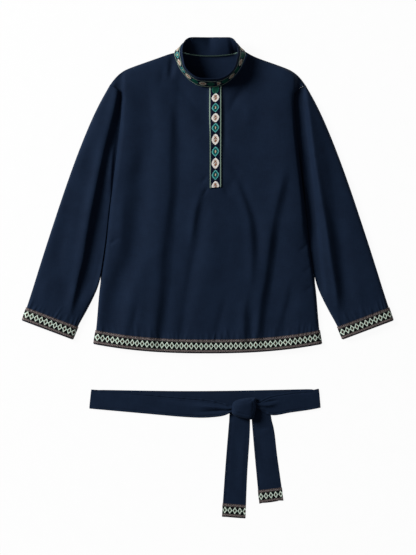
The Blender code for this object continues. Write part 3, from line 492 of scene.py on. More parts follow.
def border_lines(node, least):
    """The sharp borders of a thin solid, split at its corners, each as a line of points."""
    work = welded(node)
    following = {}
    for edge in work.edges:
        first, second = (vertex.co for vertex in edge.verts)
        rise = abs(first.z - second.z) / max(edge.calc_length(), 1e-9)
        if len(edge.link_faces) == 2 and edge.calc_face_angle() > LINE_ANGLE:
            if rise < LINE_RISE and edge.calc_length() > SHORTEST_BORDER * MM:
                for vertex in edge.verts:
                    following.setdefault(vertex, []).append(edge.other_vert(vertex))

    def goes_on(vertex):
        near = following[vertex]
        if len(near) != 2:
            return False
        first, second = ((other.co - vertex.co).normalized() for other in near)
        return first.dot(second) < LINE_TURN

    lines, used = [], set()
    for vertex in [v for v in work.verts if v in following and not goes_on(v)]:
        for other in following[vertex]:
            if (vertex.index, other.index) in used:
                continue
            chain = [vertex, other]
            while goes_on(chain[-1]):
                chain.append(next(v for v in following[chain[-1]] if v is not chain[-2]))
            used.add((chain[-1].index, chain[-2].index))
            lines.append(np.array([tuple(v.co / MM) for v in chain]))
    work.free()
    return [line for line in lines if run_of(line)[-1] > least]


def quad_corners(node):
    """The lower and the upper pair of corners of a nearly square-on strip, seen from above."""
    points = points_of(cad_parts[node].data)
    total, difference = points[:, 0] + points[:, 1], points[:, 0] - points[:, 1]
    picks = (total.argmin(), difference.argmax(), difference.argmin(), total.argmax())
    return [points[pick, :2] for pick in picks]


def shade(piece, angle=50.0):
    """Smooth shading, but for edges sharper than the angle."""
    piece.data.shade_smooth()
    piece.data.set_sharp_from_angle(angle=math.radians(angle))
    return piece


class Finish:
    """A material's nodes, built by short calls."""

    def __init__(self, name, **sockets):
        self.material = bpy.data.materials.new(name)
        self.material.use_nodes = True
        self.tree = self.material.node_tree
        self.shader = self.tree.nodes["Principled BSDF"]
        for socket, value in sockets.items():
            self.shader.inputs[socket.replace("_", " ")].default_value = value

    def node(self, kind, settings=None, **inputs):
        made = self.tree.nodes.new("ShaderNode" + kind)
        for key, value in (settings or {}).items():
            setattr(made, key, value)
        for key, value in inputs.items():
            self.feed(made.inputs[key.replace("_", " ")], value)
        return made

    def feed(self, socket, value):
        if isinstance(value, bpy.types.NodeSocket):
            self.tree.links.new(value, socket)
        else:
            socket.default_value = value

    def mix(self, factor, first, second, blend="MIX"):
        """A mix of two colours. The node's colour sockets are 6 and 7 in, and 2 out."""
        made = self.tree.nodes.new("ShaderNodeMix")
        made.data_type = "RGBA"
        made.blend_type = blend
        for socket, value in zip((made.inputs[0], made.inputs[6], made.inputs[7]),
                                 (factor, first, second)):
            self.feed(socket, value)
        return made.outputs[2]

    def math(self, operation, first, second):
        made = self.tree.nodes.new("ShaderNodeMath")
        made.operation = operation
        self.feed(made.inputs[0], first)
        self.feed(made.inputs[1], second)
        return made.outputs[0]

    def ranged(self, value, limits, shares):
        """Takes a value between the limits to one between the shares."""
        made = self.node("MapRange")
        for socket, number in zip(made.inputs[:5], (value, *limits, *shares)):
            self.feed(socket, number)
        return made.outputs[0]

    def weave(self, vector, pitch):
        """A plain weave's height: crests of warp and weft threads a pitch apart."""
        waves = []
        for direction in "XY":
            wave = self.node("TexWave", {"wave_type": "BANDS", "bands_direction": direction},
                             Vector=vector, Scale=math.pi / (10.0 * pitch), Distortion=0.0)
            waves.append(wave.outputs["Fac"])
        return self.math("MULTIPLY", *waves)

    def bump(self, height, distance, strength):
        made = self.node("Bump", Height=height, Distance=distance, Strength=strength)
        self.tree.links.new(made.outputs["Normal"], self.shader.inputs["Normal"])

    def colour(self, value):
        self.feed(self.shader.inputs["Base Color"], value)


NAVY_DEEP = (0.0056, 0.0120, 0.0285, 1.0)
NAVY_LIT = (0.0092, 0.0196, 0.0445, 1.0)


def navy_cotton(name, weave_pitch):
    """Fine matt cotton: mottled navy, faint streaks of thicker threads, and a plain weave."""
    finish = Finish(name, Roughness=0.8, Specular_IOR_Level=0.07, Sheen_Weight=0.02,
                    Sheen_Roughness=0.45, Sheen_Tint=(0.45, 0.58, 0.95, 1.0))
    place = finish.node("TexCoord").outputs["Object"]
    mottle = finish.node("TexNoise", Vector=place, Scale=22.0, Detail=4.0, Roughness=0.6)
    streaks = []
    for scale in ((60.0, 1500.0, 60.0), (1500.0, 60.0, 60.0)):
        stretched = finish.node("Mapping", Vector=place, Scale=scale)
        noise = finish.node("TexNoise", Vector=stretched.outputs["Vector"], Scale=1.0, Detail=2.0)
        streaks.append(noise.outputs["Fac"])
    thread = finish.math("MULTIPLY", finish.math("ADD", *streaks), 0.5)
    tone = finish.math("ADD", finish.ranged(mottle.outputs["Fac"], (0.3, 0.7), (0.15, 0.65)),
                       finish.ranged(thread, (0.35, 0.65), (-0.2, 0.4)))
    finish.colour(finish.mix(tone, NAVY_DEEP, NAVY_LIT))
    fabric = finish.weave(place, weave_pitch)
    finish.bump(finish.math("ADD", fabric, finish.math("MULTIPLY", thread, 0.6)),
                distance=0.00006, strength=0.35)
    return finish.material


def woven_ribbon(name):
    """A figured ribbon: each thread cell's colour comes from the mesh, under a fine rib."""
    finish = Finish(name, Roughness=0.6, Specular_IOR_Level=0.08)
    thread = finish.node("Attribute", {"attribute_name": "thread"}).outputs["Color"]
    place = finish.node("TexCoord").outputs["UV"]
    noise = finish.node("TexNoise", Vector=place, Scale=900.0, Detail=2.0)
    worn = finish.ranged(noise.outputs["Fac"], (0.3, 0.7), (0.0, 0.35))
    finish.colour(finish.mix(worn, thread, (0.55, 0.55, 0.55, 1.0), "MULTIPLY"))
    finish.bump(finish.weave(place, pitch=0.0005), distance=0.00008, strength=0.5)
    return finish.material


def thread_material(name, colour, roughness):
    """Twisted sewing thread."""
    finish = Finish(name, Roughness=roughness, Specular_IOR_Level=0.35)
    place = finish.node("TexCoord").outputs["Object"]
    noise = finish.node("TexNoise", Vector=place, Scale=700.0, Detail=1.0)
    dark = (*(0.6 * part for part in colour), 1.0)
    finish.colour(finish.mix(noise.outputs["Fac"], dark, (*colour, 1.0)))
    return finish.material


def piping_material():
    """Pale green cloth with a diagonal rib."""
    finish = Finish("pale green piping", Roughness=0.7, Sheen_Weight=0.15, Sheen_Roughness=0.4)
    place = finish.node("TexCoord").outputs["Object"]
    wave = finish.node("TexWave", {"bands_direction": "DIAGONAL"}, Vector=place, Scale=260.0)
    finish.colour(finish.mix(wave.outputs["Fac"], (0.150, 0.270, 0.235, 1.0),
                             (0.330, 0.520, 0.450, 1.0)))
    finish.bump(wave.outputs["Fac"], distance=0.0002, strength=0.6)
    return finish.material


COTTON = navy_cotton("navy cotton", weave_pitch=0.00045)
BELT_COTTON = navy_cotton("navy belt cotton", weave_pitch=0.00045)
RIBBON = woven_ribbon("figured ribbon")
NAVY_THREAD = thread_material("navy thread", (0.012, 0.019, 0.04), 0.5)
DARK_THREAD = thread_material("dark ribbon thread", (0.03, 0.028, 0.03), 0.55)
SAGE_THREAD = thread_material("sage thread", (0.20, 0.27, 0.20), 0.55)

# Thread colours of the ribbons, how far some float over the ground, and how much the tone of
# single threads varies.
THREADS = {
    "k": (0.0022, 0.0026, 0.0035),
    "n": (0.0015, 0.0045, 0.020),
    "d": (0.014, 0.012, 0.015),
    "t": (0.120, 0.092, 0.090),
    "p": (0.380, 0.310, 0.295),
    "c": (0.880, 0.920, 0.800),
    "m": (0.480, 0.760, 0.600),
    "r": (0.085, 0.030, 0.022),
    "s": (0.250, 0.355, 0.280),
    "g": (0.008, 0.150, 0.150),
    "e": (0.004, 0.070, 0.045),
    "h": (0.012, 0.160, 0.110),
    "a": (0.140, 0.530, 0.500),
    "w": (0.940, 0.880, 0.820),
    "b": (0.240, 0.130, 0.090),
    "o": (0.500, 0.180, 0.080),
    "y": (0.600, 0.540, 0.360),
    # v: the cream ovals' thread darkened to beige for the collar, partly the ribbon's own duller
    # colour and partly painted shade
    "v": (0.560, 0.520, 0.420),
}
RAISED = {"c": 0.22, "m": 0.18, "p": 0.10, "t": 0.06, "s": 0.12, "g": 0.16, "a": 0.20, "w": 0.22,
          "b": 0.16, "o": 0.16, "y": 0.18, "r": 0.05, "e": 0.14, "h": 0.18, "v": 0.20}
TONE_RANGE = (0.86, 1.1)

# One repeat of the lozenge ribbon from its upper edge down. The scroll rows are two to a
# repeat, and the lozenge rows are its upper left quarter.
UPPER_SCROLL = ("tttttttt", "kkttkkkk", "kpppktkt", "pkkkpktp", "pktpkktp", "pkkkpktk", "kppkpktt",
                "kkkkktpk", "tktpkkkt", "kkkkkkkk")
LOZENGE = ("kkkkkkkm", "kkkkkkmc", "kkkkkkcc", "kkkkkmcc", "kkkkkccm", "kkkkmcck", "kkkmccmk",
           "kkkccmkk", "kkmcckkk", "kmccmkkr", "mccmkkrr")
LOWER_SCROLL = ("kkkkkkkk", "kttpkkkk", "tpkkpttk", "pkttkkpk", "pktpkkpt", "kpkkpktp", "ktpptkkt",
                "tkktttkt", "dddddddd", "dddddddd")
PLACKET_MOTIFS = ((452.0, 11.5, "green"), (431.5, 10.3, "cream"), (408.0, 11.0, "teal"),
                  (383.5, 11.0, "cream"), (359.5, 11.5, "teal"), (331.5, 13.2, "cream"),
                  (302.5, 12.0, "teal"), (274.5, 13.2, "cream"), (246.5, 12.0, "teal"),
                  (219.5, 12.5, "cream"))

# The oval ribbon across its width: the middle of each pale edge line and half its breadth.
EDGE_LINE, EDGE_LINE_HALF = 12.3, 1.05
# Each kind of oval: half its width, the powers that shape it across and along, and its rings
# from the outside in, each with its share of the oval and its letter.
Oval = namedtuple("Oval", "half across along rings")
OVALS = {
    "cream": Oval(8.9, 1.45, 1.6, ((1.0, "w"),)),
    # A darker copy of the cream oval for the collar: partly the ribbon's own duller colour, partly
    # painted shade.
    "shaded_beige": Oval(8.9, 1.45, 1.6, ((1.0, "v"),)),
    "green": Oval(8.0, 1.4, 2.0, ((1.0, "h"), (0.78, "e"))),
    "teal": Oval(8.5, 1.15, 1.45, ((1.0, "a"), (0.78, "g"), (0.40, "n"))),
}
TEAL_EYE_HALF, TEAL_EYE_SHARE = 1.9, 0.30
# The sprig on the pale ovals: its share of the oval's length, the breadth of its columns and
# half that of its marks, and how far out in the oval it may reach.
CREAM_SPRIG = ("...b...", "..bbb..", ".bboob.", "..bbob.", "b..bb.b", "bb.b.bb", ".bbbbb.",
               "..bob..", ".boobb.", "..bb...")
SPRIG_SHARE, SPRIG_COLUMN, SPRIG_MARK_HALF, SPRIG_REACH = 0.62, 1.35, 0.7, 0.75

# The collar ribbon's ovals, all one size, counted from the front middle to both sides, and
# the gap that the opening takes out of the round. Every other one is a darker beige copy of
# the cream oval: partly the ribbon's own duller colour, partly painted shade on the collar.
COLLAR_PITCH, COLLAR_GAP, COLLAR_OVAL_HALF = 19.2, 5.5, 8.9
COLLAR_STEPS, TEAL_STEPS = range(-11, 13), (-6, -4)
COLLAR_HEIGHT = 44.0
COLLAR_RIBBON = (2.0, 32.0)
# Half of the collar's ring from the front middle round to the back middle, measured from the
# neck's centre: its foot and its rim, each across and up.
COLLAR = ((0.0, -82.3, 0.0, -64.0), (25.0, -79.2, 21.0, -62.5), (43.2, -70.0, 36.0, -57.5),
          (58.6, -56.0, 49.0, -47.5), (73.9, -35.0, 60.5, -32.0), (83.0, -13.0, 65.0, -12.0),
          (85.4, 0.0, 65.8, 4.0), (79.0, 7.0, 62.5, 23.0), (62.0, 2.0, 52.0, 34.0),
          (40.0, -3.5, 36.0, 36.5), (0.0, -6.7, 0.0, 37.2))
COLLAR_OPENING, COLLAR_OPENING_HALF = 0.67, 0.024
# Places where the foot's height is read from the solid, and how near to them; fine places
# between them; and the least rise from foot to rim.
COLLAR_STATIONS, STATION_REACH, COLLAR_FINE, LEAST_RISE = 33, 0.4, 600, 3.0
# The collar's soft waves, each with its height, its length and its start, and the rim's roll.
COLLAR_WAVES = ((0.5, 17.0, 0.0), (0.35, 7.3, 1.0))
COLLAR_ROLL, ROLL_POWER = 0.8, 3
COLLAR_CELL, COLLAR_LEVELS = 1.5, 26
# Heights on the collar of its rows of stitches: two outside, and one seen inside.
COLLAR_STITCHES, COLLAR_STITCH_CELL = (3.0, 31.0, 41.0), 2.5

# Where a ribbon turns round an edge: how far out, the shares of the way down, and the
# heights at the turn's foot and underneath.
TURN_OUT, TURN_SHARES, TURN_FOOT, UNDER_HEIGHT = 1.3, (0.3, 0.75), 0.1, 0.05
PLACKET_CELL = 1.5

# The belt's stitched edges: how far in the stitches are and how deep they draw the cloth in,
# and the small waves along the edge.
STITCH_INSET, STITCH_DENT, DENT_WIDTH = 5.0, 0.5, 1.1
EDGE_WAVE, EDGE_WAVE_LENGTHS, EDGE_WAVE_AT, EDGE_WAVE_WIDTH = 0.45, (3.1, 11.0), 2.0, 4.0
# The least length of a border that waves and of one that is sewn, the least height of one
# that is sewn, and how upright the normals of the belt's upper face are.
BELT_BORDER, BELT_LONG_EDGE, BELT_UPPER_EDGE, BELT_UPPER = 60.0, 100.0, 1.0, 0.3
# How far in from a trim's edges its stitches are, and how far a row stops short of them. The
# rows round the hem and the cuffs go almost to both sides, in fine steps.
BAND_STITCH_INSET, PLACKET_STITCH_INSET, ROW_END = 1.1, 1.0, 1.0
ROW_SHARE, ROW_POINTS = 0.997, 160
# The step between points of a sewn line or a seam, and a seam's rows across and smoothing.
LINE_STEP, SEAM_ROWS, SEAM_SMOOTH = 2.0, 5, 7

# The pale floor: half its size and its place in metres, and how brightly it glows by itself.
FLOOR_HALF, FLOOR_HEIGHT, FLOOR_GLOW = 4.0, -0.0004, 0.965
DAYLIGHT = 0.11


def lozenge_threads(columns, rows, cell):
    """Letters of the lozenge ribbon for a grid of cells, its lower edge first."""
    chart = [line * 2 for line in UPPER_SCROLL]
    chart += [line + line[::-1] for line in LOZENGE + LOZENGE[::-1]]
    chart += [line * 2 for line in LOWER_SCROLL]
    letters = np.array([list(line) for line in chart[::-1]])
    up = np.minimum((np.arange(rows) + 0.5) * HEM_RIBBON_WIDTH / rows / THREAD_CELL, len(chart) - 1)
    right = (np.arange(columns) + 0.5) * cell / THREAD_CELL
    return letters[up.astype(int)][:, right.astype(int) % len(chart[0])]


def oval_threads(places, rows, motifs):
    """Letters of the oval ribbon: sage edge lines, with ovals of each motif's kind."""
    across = ((np.arange(rows) + 0.5) / rows - 0.5)[:, None] * OVAL_RIBBON_WIDTH
    run = np.asarray(places)[None, :]
    letters = np.full((rows, len(places)), "n")
    in_edge = np.abs(np.abs(across) - EDGE_LINE) < EDGE_LINE_HALF
    letters[np.broadcast_to(in_edge, letters.shape)] = "s"
    for centre, half, kind in motifs:
        oval = OVALS[kind]
        step = np.abs(run - centre) / half
        level = (np.abs(across) / oval.half) ** oval.across + step ** oval.along
        for share, letter in oval.rings:
            letters[level < share] = letter
        if kind == "teal":
            eye = (np.abs(across) / TEAL_EYE_HALF) ** 2 + (step / TEAL_EYE_SHARE) ** 2
            letters[eye < 1.0] = "y"
        if kind not in ("cream", "shaded_beige"):
            continue
        cell = 2.0 * half * SPRIG_SHARE / len(CREAM_SPRIG)
        for row, line in enumerate(CREAM_SPRIG):
            at = centre + (row - 0.5 * len(CREAM_SPRIG) + 0.5) * cell
            for column, letter in enumerate(line):
                x = (column - len(line) // 2) * SPRIG_COLUMN
                mark = (np.abs(across - x) < SPRIG_MARK_HALF) & (np.abs(run - at) < 0.5 * cell)
                if letter != ".":
                    letters[mark & (level < SPRIG_REACH)] = letter
    return letters


def grid_piece(name, points, letters=None, wrap=False):
    """A sheet from rows of points, with its run in millimetres as UV and a thread to a cell."""
    rows, columns, _ = points.shape
    count = columns if wrap else columns - 1
    index = np.arange(rows * columns).reshape(rows, columns)
    following = np.roll(index, -1, axis=1)
    faces = np.stack((index[:-1, :count], following[:-1, :count], following[1:, :count],
                      index[1:, :count]), axis=-1).reshape(-1, 4)
    mesh = bpy.data.meshes.new(name)
    mesh.from_pydata([tuple(point) for point in points.reshape(-1, 3) * MM], [],
                     [tuple(face) for face in faces])
    run, rise = run_of(points[0])[None, :], run_of(points[:, 0])[:, None]
    uv = np.stack(np.broadcast_arrays(run, rise), axis=-1).reshape(-1, 2) * MM
    layer = mesh.uv_layers.new(name="run")
    corners = np.empty(len(mesh.loops), int)
    mesh.loops.foreach_get("vertex_index", corners)
    layer.data.foreach_set("uv", uv[corners].ravel())
    if letters is not None:
        attribute = mesh.color_attributes.new("thread", "FLOAT_COLOR", "CORNER")
        colours = np.array([(*THREADS[letter], 1.0) for letter in letters.ravel()])
        draw = np.random.default_rng(len(name) + rows)
        colours[:, :3] *= draw.uniform(*TONE_RANGE, (len(colours), 1))
        attribute.data.foreach_set("color", np.repeat(colours, 4, axis=0).ravel())
    return new_piece(name, mesh)


def facing(points):
    """Directions square to a grid of points."""
    cross = np.cross(np.gradient(points, axis=1), np.gradient(points, axis=0))
    return cross / np.maximum(np.linalg.norm(cross, axis=-1), 1e-9)[..., None]


def embossed(points, letters):
    """Moves a ribbon's points out where its figures float over the ground."""
    lift = np.vectorize(lambda letter: RAISED.get(letter, 0.0))(letters)
    padded = np.pad(lift, 1, mode="edge")
    mean = 0.25 * (padded[:-1, :-1] + padded[1:, :-1] + padded[:-1, 1:] + padded[1:, 1:])
    return points + facing(points) * mean[:points.shape[0], :points.shape[1], None]


def thickened(piece, thickness, rounded=0.0):
    """Gives a sheet its thickness, away from its outer face."""
    solid = piece.modifiers.new("thickness", "SOLIDIFY")
    solid.thickness = thickness * MM
    solid.offset = -1.0
    if rounded:
        bevel = piece.modifiers.new("edge", "BEVEL")
        bevel.width = rounded * MM
        bevel.segments = 2
        bevel.limit_method = "ANGLE"
        bevel.angle_limit = math.radians(60.0)
    return plain_mesh(piece)


class Surface:
    """The upper face of finished pieces, to lay trims on."""

    def __init__(self, *names):
        depsgraph = bpy.context.evaluated_depsgraph_get()
        self.trees = [BVHTree.FromObject(bpy.data.objects[name], depsgraph) for name in names]

    def height(self, x, y, missed):
        """Height in millimetres of the top face at one place, or the one given for a miss."""
        tops = []
        for tree in self.trees:
            hit = tree.ray_cast(Vector((x * MM, y * MM, PROBE)), Vector((0.0, 0.0, -1.0)))
            if hit[0] is not None:
                tops.append(hit[0].z / MM)
        return max(tops) if tops else missed

    def heights(self, x, y):
        """Heights at many places. Beside the cloth each takes the height before it."""
        flat = [FIRST_HEIGHT]
        for px, py in zip(np.ravel(x), np.ravel(y)):
            flat.append(self.height(px, py, flat[-1]))
        return np.array(flat[1:]).reshape(np.shape(x))

    def laid(self, x, y, gap):
        """Points a gap out from the cloth, along its own slope."""
        points = np.stack(np.broadcast_arrays(x, y, self.heights(x, y)), axis=-1)
        up = facing(points)
        up[up[..., 2] < 0.0] *= -1.0
        return points + gap * up


def dress(piece, nodes, material):
    """Rides a finished piece on the one body, in place of its solids."""
    piece.data.materials.clear()
    piece.data.materials.append(material)
    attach(piece, "root")
    if nodes:
        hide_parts(*nodes)
    return piece


def shifted(piece, field, floor_outer, floor_inner):
    """Presses creases into a shell, and keeps it clear of the layers under it."""
    points = points_of(piece.data)
    normal = normals_of(piece.data)
    lift = field(points[:, 0], points[:, 1])
    upper = points[:, 2] > floor_inner - UNDER_FLOOR
    floor = np.where(normal[:, 2] > 0.0, floor_outer, floor_inner)
    room = np.maximum(points[:, 2] - floor, 0.0)
    near = ease(room / FULL_ROOM)
    down = -room * (1.0 - np.exp(lift / np.maximum(room, LEAST_ROOM)))
    moved = np.where(lift < 0.0, down, lift * near)
    points[:, 2] += np.where(upper, moved, 0.0)
    put_points(piece.data, points)
    return piece


def pressed_shell(node, field, floors):
    """A shell on a solid's form, with its creases pressed in."""
    piece = rounded_copy(f"{node}_cloth", node, levels=2, finer_top=True)
    shifted(piece, field, *floors)
    return shade(grown(piece))


def back_cloth():
    """The back panel, its sides let out a little under the sleeves to close the grooves."""
    piece = rounded_copy("back_cloth", "back", levels=2)
    points = points_of(piece.data)
    side = np.abs(points[:, 0])
    edge = np.interp(points[:, 1], *GROOVE[::-1].T[::-1])
    near = ease((side - edge + GROOVE_NEAR) / GROOVE_EASE)
    near *= ease((points[:, 1] - GROOVE[-1, 1]) / GROOVE_END)
    near *= points[:, 1] < GROOVE[0, 1]
    points[:, 0] += np.sign(points[:, 0]) * near * GROOVE_OVERLAP
    put_points(piece.data, points)
    return shade(piece)


def camera():
    """The photograph's view, from straight above."""
    data = bpy.data.cameras.new("camera")
    data.lens = LENS
    data.sensor_width = SENSOR
    data.clip_start, data.clip_end = 0.1, 50.0
    made = bpy.data.objects.new("camera", data)
    height = 0.5 * PHOTO_HEIGHT * PIXEL * MM * LENS / (0.5 * SENSOR)
    made.location = (VIEW_CENTRE[0] * MM, VIEW_CENTRE[1] * MM, height)
    bpy.context.scene.collection.objects.link(made)
    bpy.context.scene.camera = made


def softbox(name, place, size, power):
    """A round light that faces the middle of the garment."""
    data = bpy.data.lights.new(name, "AREA")
    data.shape = "DISK"
    data.size = size
    data.energy = power
    made = bpy.data.objects.new(name, data)
    made.location = place
    made.rotation_euler = (-Vector(place)).to_track_quat("-Z", "Y").to_euler()
    bpy.context.scene.collection.objects.link(made)


def studio():
    """Soft daylight from the upper left, an even fill, and a pale floor."""
    softbox("key", place=(-4.5, 2.4, 3.05), size=2.4, power=425.0)
    softbox("fill", place=(2.2, -1.2, 2.6), size=2.0, power=4.0)
    world = bpy.data.worlds.new("studio")
    world.use_nodes = True
    sky = world.node_tree.nodes["Background"].inputs
    sky["Color"].default_value = (0.93, 0.96, 1.0, 1.0)
    sky["Strength"].default_value = DAYLIGHT
    bpy.context.scene.world = world
    bpy.context.scene.view_settings.view_transform = "Standard"
    work = bmesh.new()
    bmesh.ops.create_grid(work, x_segments=1, y_segments=1, size=FLOOR_HALF)
    floor = new_piece("floor", written(work, bpy.data.meshes.new("floor")))
    floor.location.z = FLOOR_HEIGHT
    finish = Finish("pale floor", Roughness=0.9, Specular_IOR_Level=0.1)
    place = finish.node("TexCoord").outputs["Object"]
    grain = finish.node("TexNoise", Vector=place, Scale=30.0, Detail=3.0)
    shown = finish.mix(grain.outputs["Fac"], (0.975, 0.975, 0.975, 1.0),
                       (0.985, 0.985, 0.985, 1.0))
    finish.colour((0.05, 0.05, 0.05, 1.0))
    finish.feed(finish.shader.inputs["Emission Color"], shown)
    finish.shader.inputs["Emission Strength"].default_value = FLOOR_GLOW
    floor.data.materials.append(finish.material)


def ribbon_ring(name, surface, place, length, turn_out):
    """A lozenge ribbon round a hem or a cuff: over the top, round both edges and underneath.

    place gives x and y from a share of the width, -1 to 1, and a height above the edge.
    """
    cells = int(HEM_RIBBON_WIDTH / THREAD_CELL)
    up = np.linspace(0.0, HEM_RIBBON_WIDTH, cells + 1)[:, None]
    columns = 2 * int(0.5 * length / THREAD_CELL)
    share = np.linspace(-1.0, 1.0, columns + 1)[None, :]
    top = surface.laid(*place(share, up), LAID_GAP + RIBBON_CLOTH)
    turns = []
    for at in (-1, 0):
        edge, out = top[:, at], np.array(turn_out(at))
        aside = edge[:, :2] + TURN_OUT * out
        turns.append([np.concatenate((aside, (1.0 - part) * edge[:, 2:] + part * TURN_FOOT), axis=1)
                      for part in TURN_SHARES])
    coarse = share[:, ::-2]
    under = np.stack(np.broadcast_arrays(*place(coarse, up), UNDER_HEIGHT), axis=-1)
    points = np.concatenate((top, np.stack(turns[0], axis=1), under,
                             np.stack(turns[1][::-1], axis=1)), axis=1)
    letters = lozenge_threads(columns, cells, length / columns)
    edge = np.repeat(letters[:, :1], len(TURN_SHARES) + 1, axis=1)
    letters = np.concatenate((letters, edge, letters[:, ::2], edge), axis=1)
    return thickened(grid_piece(name, points, letters, wrap=True), RIBBON_CLOTH)


def hem_place(share, up):
    """Places on the hem."""
    half = HEM_HALF - BAND_INSET + SIDE_SLOPE * (up + TRIM_INSET)
    return share * half, hem_up(share * HEM_HALF) + TRIM_INSET + up


def cuff_place(side):
    """Places on a cuff, from its left edge to its right one as seen from above."""
    start, across, rise, length = cuff_frame(side)

    def place(share, up):
        part = 0.5 * (1.0 - side * share)
        run = part * (length - 2.0 * BAND_INSET) + BAND_INSET
        run = run + (2.0 * part - 1.0) * CUFF_FLARE * up
        above = up + TRIM_INSET
        return (start[0] + across[0] * run + rise[0] * above,
                start[1] + across[1] * run + rise[1] * above)

    return place


def cuff_band(name, side, surface):
    """The ribbon round a cuff."""
    across, length = cuff_frame(side)[1::2]

    def turn_out(at):
        return across * -side if at == -1 else across * side

    return ribbon_ring(f"cuff_band_{name}", surface, cuff_place(side), length, turn_out)


def flat_grid(corners, spacing):
    """Places over a four-cornered strip, its lower edge first."""
    low_left, low_right, high_left, high_right = corners
    columns = int(math.dist(low_left, low_right) / spacing)
    rows = int(math.dist(low_left, high_left) / spacing)
    u = np.linspace(0.0, 1.0, columns + 1)[None, :, None]
    v = np.linspace(0.0, 1.0, rows + 1)[:, None, None]
    grid = ((1.0 - v) * ((1.0 - u) * low_left + u * low_right)
            + v * ((1.0 - u) * high_left + u * high_right))
    return grid[..., 0], grid[..., 1]


def tail_band(name, surface):
    """The ribbon across the end of one of the belt's tails."""
    x, y = flat_grid(quad_corners(f"belt_ribbon_{name}"), THREAD_CELL)
    points = surface.laid(x, y, LAID_GAP + RIBBON_CLOTH)
    letters = lozenge_threads(points.shape[1] - 1, points.shape[0] - 1, THREAD_CELL)
    return thickened(grid_piece(f"belt_band_{name}", embossed(points, letters), letters),
                     RIBBON_CLOTH)


def placket_pieces(surface):
    """The navy band over the neck slit, and the oval ribbon along its middle."""
    x, y = flat_grid(quad_corners("placket"), PLACKET_CELL)
    band = grid_piece("placket_cloth", surface.laid(x, y, LAID_GAP + PLACKET_CLOTH))
    thickened(band, PLACKET_CLOTH, rounded=0.3)
    x, y = flat_grid(quad_corners("placket_ribbon"), THREAD_CELL)
    points = surface.laid(x, y, 2.0 * LAID_GAP + PLACKET_CLOTH + RIBBON_CLOTH)
    letters = oval_threads(y.mean(axis=1)[:-1], points.shape[1] - 1, PLACKET_MOTIFS).T
    ribbon = thickened(grid_piece("placket_band", embossed(points, letters), letters), RIBBON_CLOTH)
    return shade(band), ribbon


class CollarForm:
    """The collar's outer face as a ruled surface, its foot at the frame's own heights."""

    def __init__(self):
        right = np.array(COLLAR)
        left = right[-2:0:-1] * (-1.0, 1.0, -1.0, 1.0)
        ring = np.vstack((right, left))
        places = np.linspace(COLLAR_OPENING + COLLAR_OPENING_HALF,
                             COLLAR_OPENING - COLLAR_OPENING_HALF + len(ring), COLLAR_STATIONS)
        solid = points_of(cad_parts["collar"].data)
        heights = []
        for x, y in closed_spline(ring, places)[:, :2] + NECK_CENTRE:
            near = solid[np.hypot(solid[:, 0] - x, solid[:, 1] - y) < STATION_REACH]
            heights.append(near[:, 2].min())
        fine = np.linspace(places[0], places[-1], COLLAR_FINE)
        stations = closed_spline(ring, fine)
        foot, rim = stations[:, :2] + NECK_CENTRE, stations[:, 2:] + NECK_CENTRE
        foot_z = np.interp(fine, places, heights)
        lean = np.linalg.norm(rim - foot, axis=1)
        rise = np.sqrt(np.maximum(COLLAR_HEIGHT ** 2 - lean ** 2, LEAST_RISE ** 2))
        self.foot = np.column_stack((foot, foot_z))
        self.rim = np.column_stack((rim, foot_z + rise))
        self.run = run_of(0.5 * (self.foot + self.rim))
        self.length = self.run[-1]

    def grid(self, columns, levels):
        """Points of the outer face, and their directions out of the ring."""
        place = np.linspace(0.0, 1.0, columns)
        foot, rim = (np.stack([np.interp(place * self.length, self.run, axis) for axis in line.T],
                              axis=-1) for line in (self.foot, self.rim))
        level = np.asarray(levels)[:, None, None]
        points = (1.0 - level) * foot[None] + level * rim[None]
        out = facing(points)
        sample = columns // 8
        outward = points[0, sample] - np.array((*NECK_CENTRE, points[0, sample, 2]))
        if (out[0, sample] * outward).sum() < 0.0:
            out = -out
        wave = sum(height * np.sin(place * self.length / reach + start)
                   for height, reach, start in COLLAR_WAVES)
        bend = wave[:, None] * level + COLLAR_ROLL * level ** ROLL_POWER
        return points + out * bend, out

    def stitch_lines(self):
        """Rows along the ribbon's edges outside, and one under the rim inside."""
        columns = int(self.length / COLLAR_STITCH_CELL)
        points, out = self.grid(columns, [part / COLLAR_HEIGHT for part in COLLAR_STITCHES])
        outside = points + (LAID_GAP + RIBBON_CLOTH + STITCH_GAP) * out
        inside = points - (COLLAR_CLOTH + STITCH_GAP) * out
        return [outside[0], outside[1]], [inside[2]]


def collar_pieces(form):
    """The stand band, and the oval ribbon round the outside of it."""
    columns = int(form.length / COLLAR_CELL)
    points, out = form.grid(columns, np.linspace(0.0, 1.0, COLLAR_LEVELS))
    cloth = grid_piece("collar_cloth", points)
    flip_to(cloth, out)
    thickened(cloth, COLLAR_CLOTH, rounded=0.45)
    low, high = (part / COLLAR_HEIGHT for part in COLLAR_RIBBON)
    rows = int((COLLAR_RIBBON[1] - COLLAR_RIBBON[0]) / THREAD_CELL)
    cells = int(form.length / THREAD_CELL)
    points, out = form.grid(cells + 1, np.linspace(low, high, rows + 1))
    points = points + (LAID_GAP + RIBBON_CLOTH) * out
    place = (np.arange(cells) + 0.5) * form.length / cells
    front = place[points[rows // 2, :-1, 1].argmin()]
    motifs = []
    for step in COLLAR_STEPS:
        # Every other oval is the darkened copy of the cream one, partly painted shade.
        kind = "shaded_beige" if step % 2 else "teal" if step in TEAL_STEPS else "green"
        turn = form.length + COLLAR_GAP if step > 0 else 0.0
        motifs.append((front + step * COLLAR_PITCH - turn, COLLAR_OVAL_HALF, kind))
    letters = oval_threads(place, rows, motifs)
    ribbon = grid_piece("collar_band", points, letters)
    flip_to(ribbon, out)
    return shade(cloth), thickened(ribbon, RIBBON_CLOTH)


def flip_to(piece, outward):
    """Turns a sheet's faces over where they don't point outward."""
    normal = normals_of(piece.data)
    if (normal * outward.reshape(-1, 3)).sum() < 0.0:
        piece.data.flip_normals()


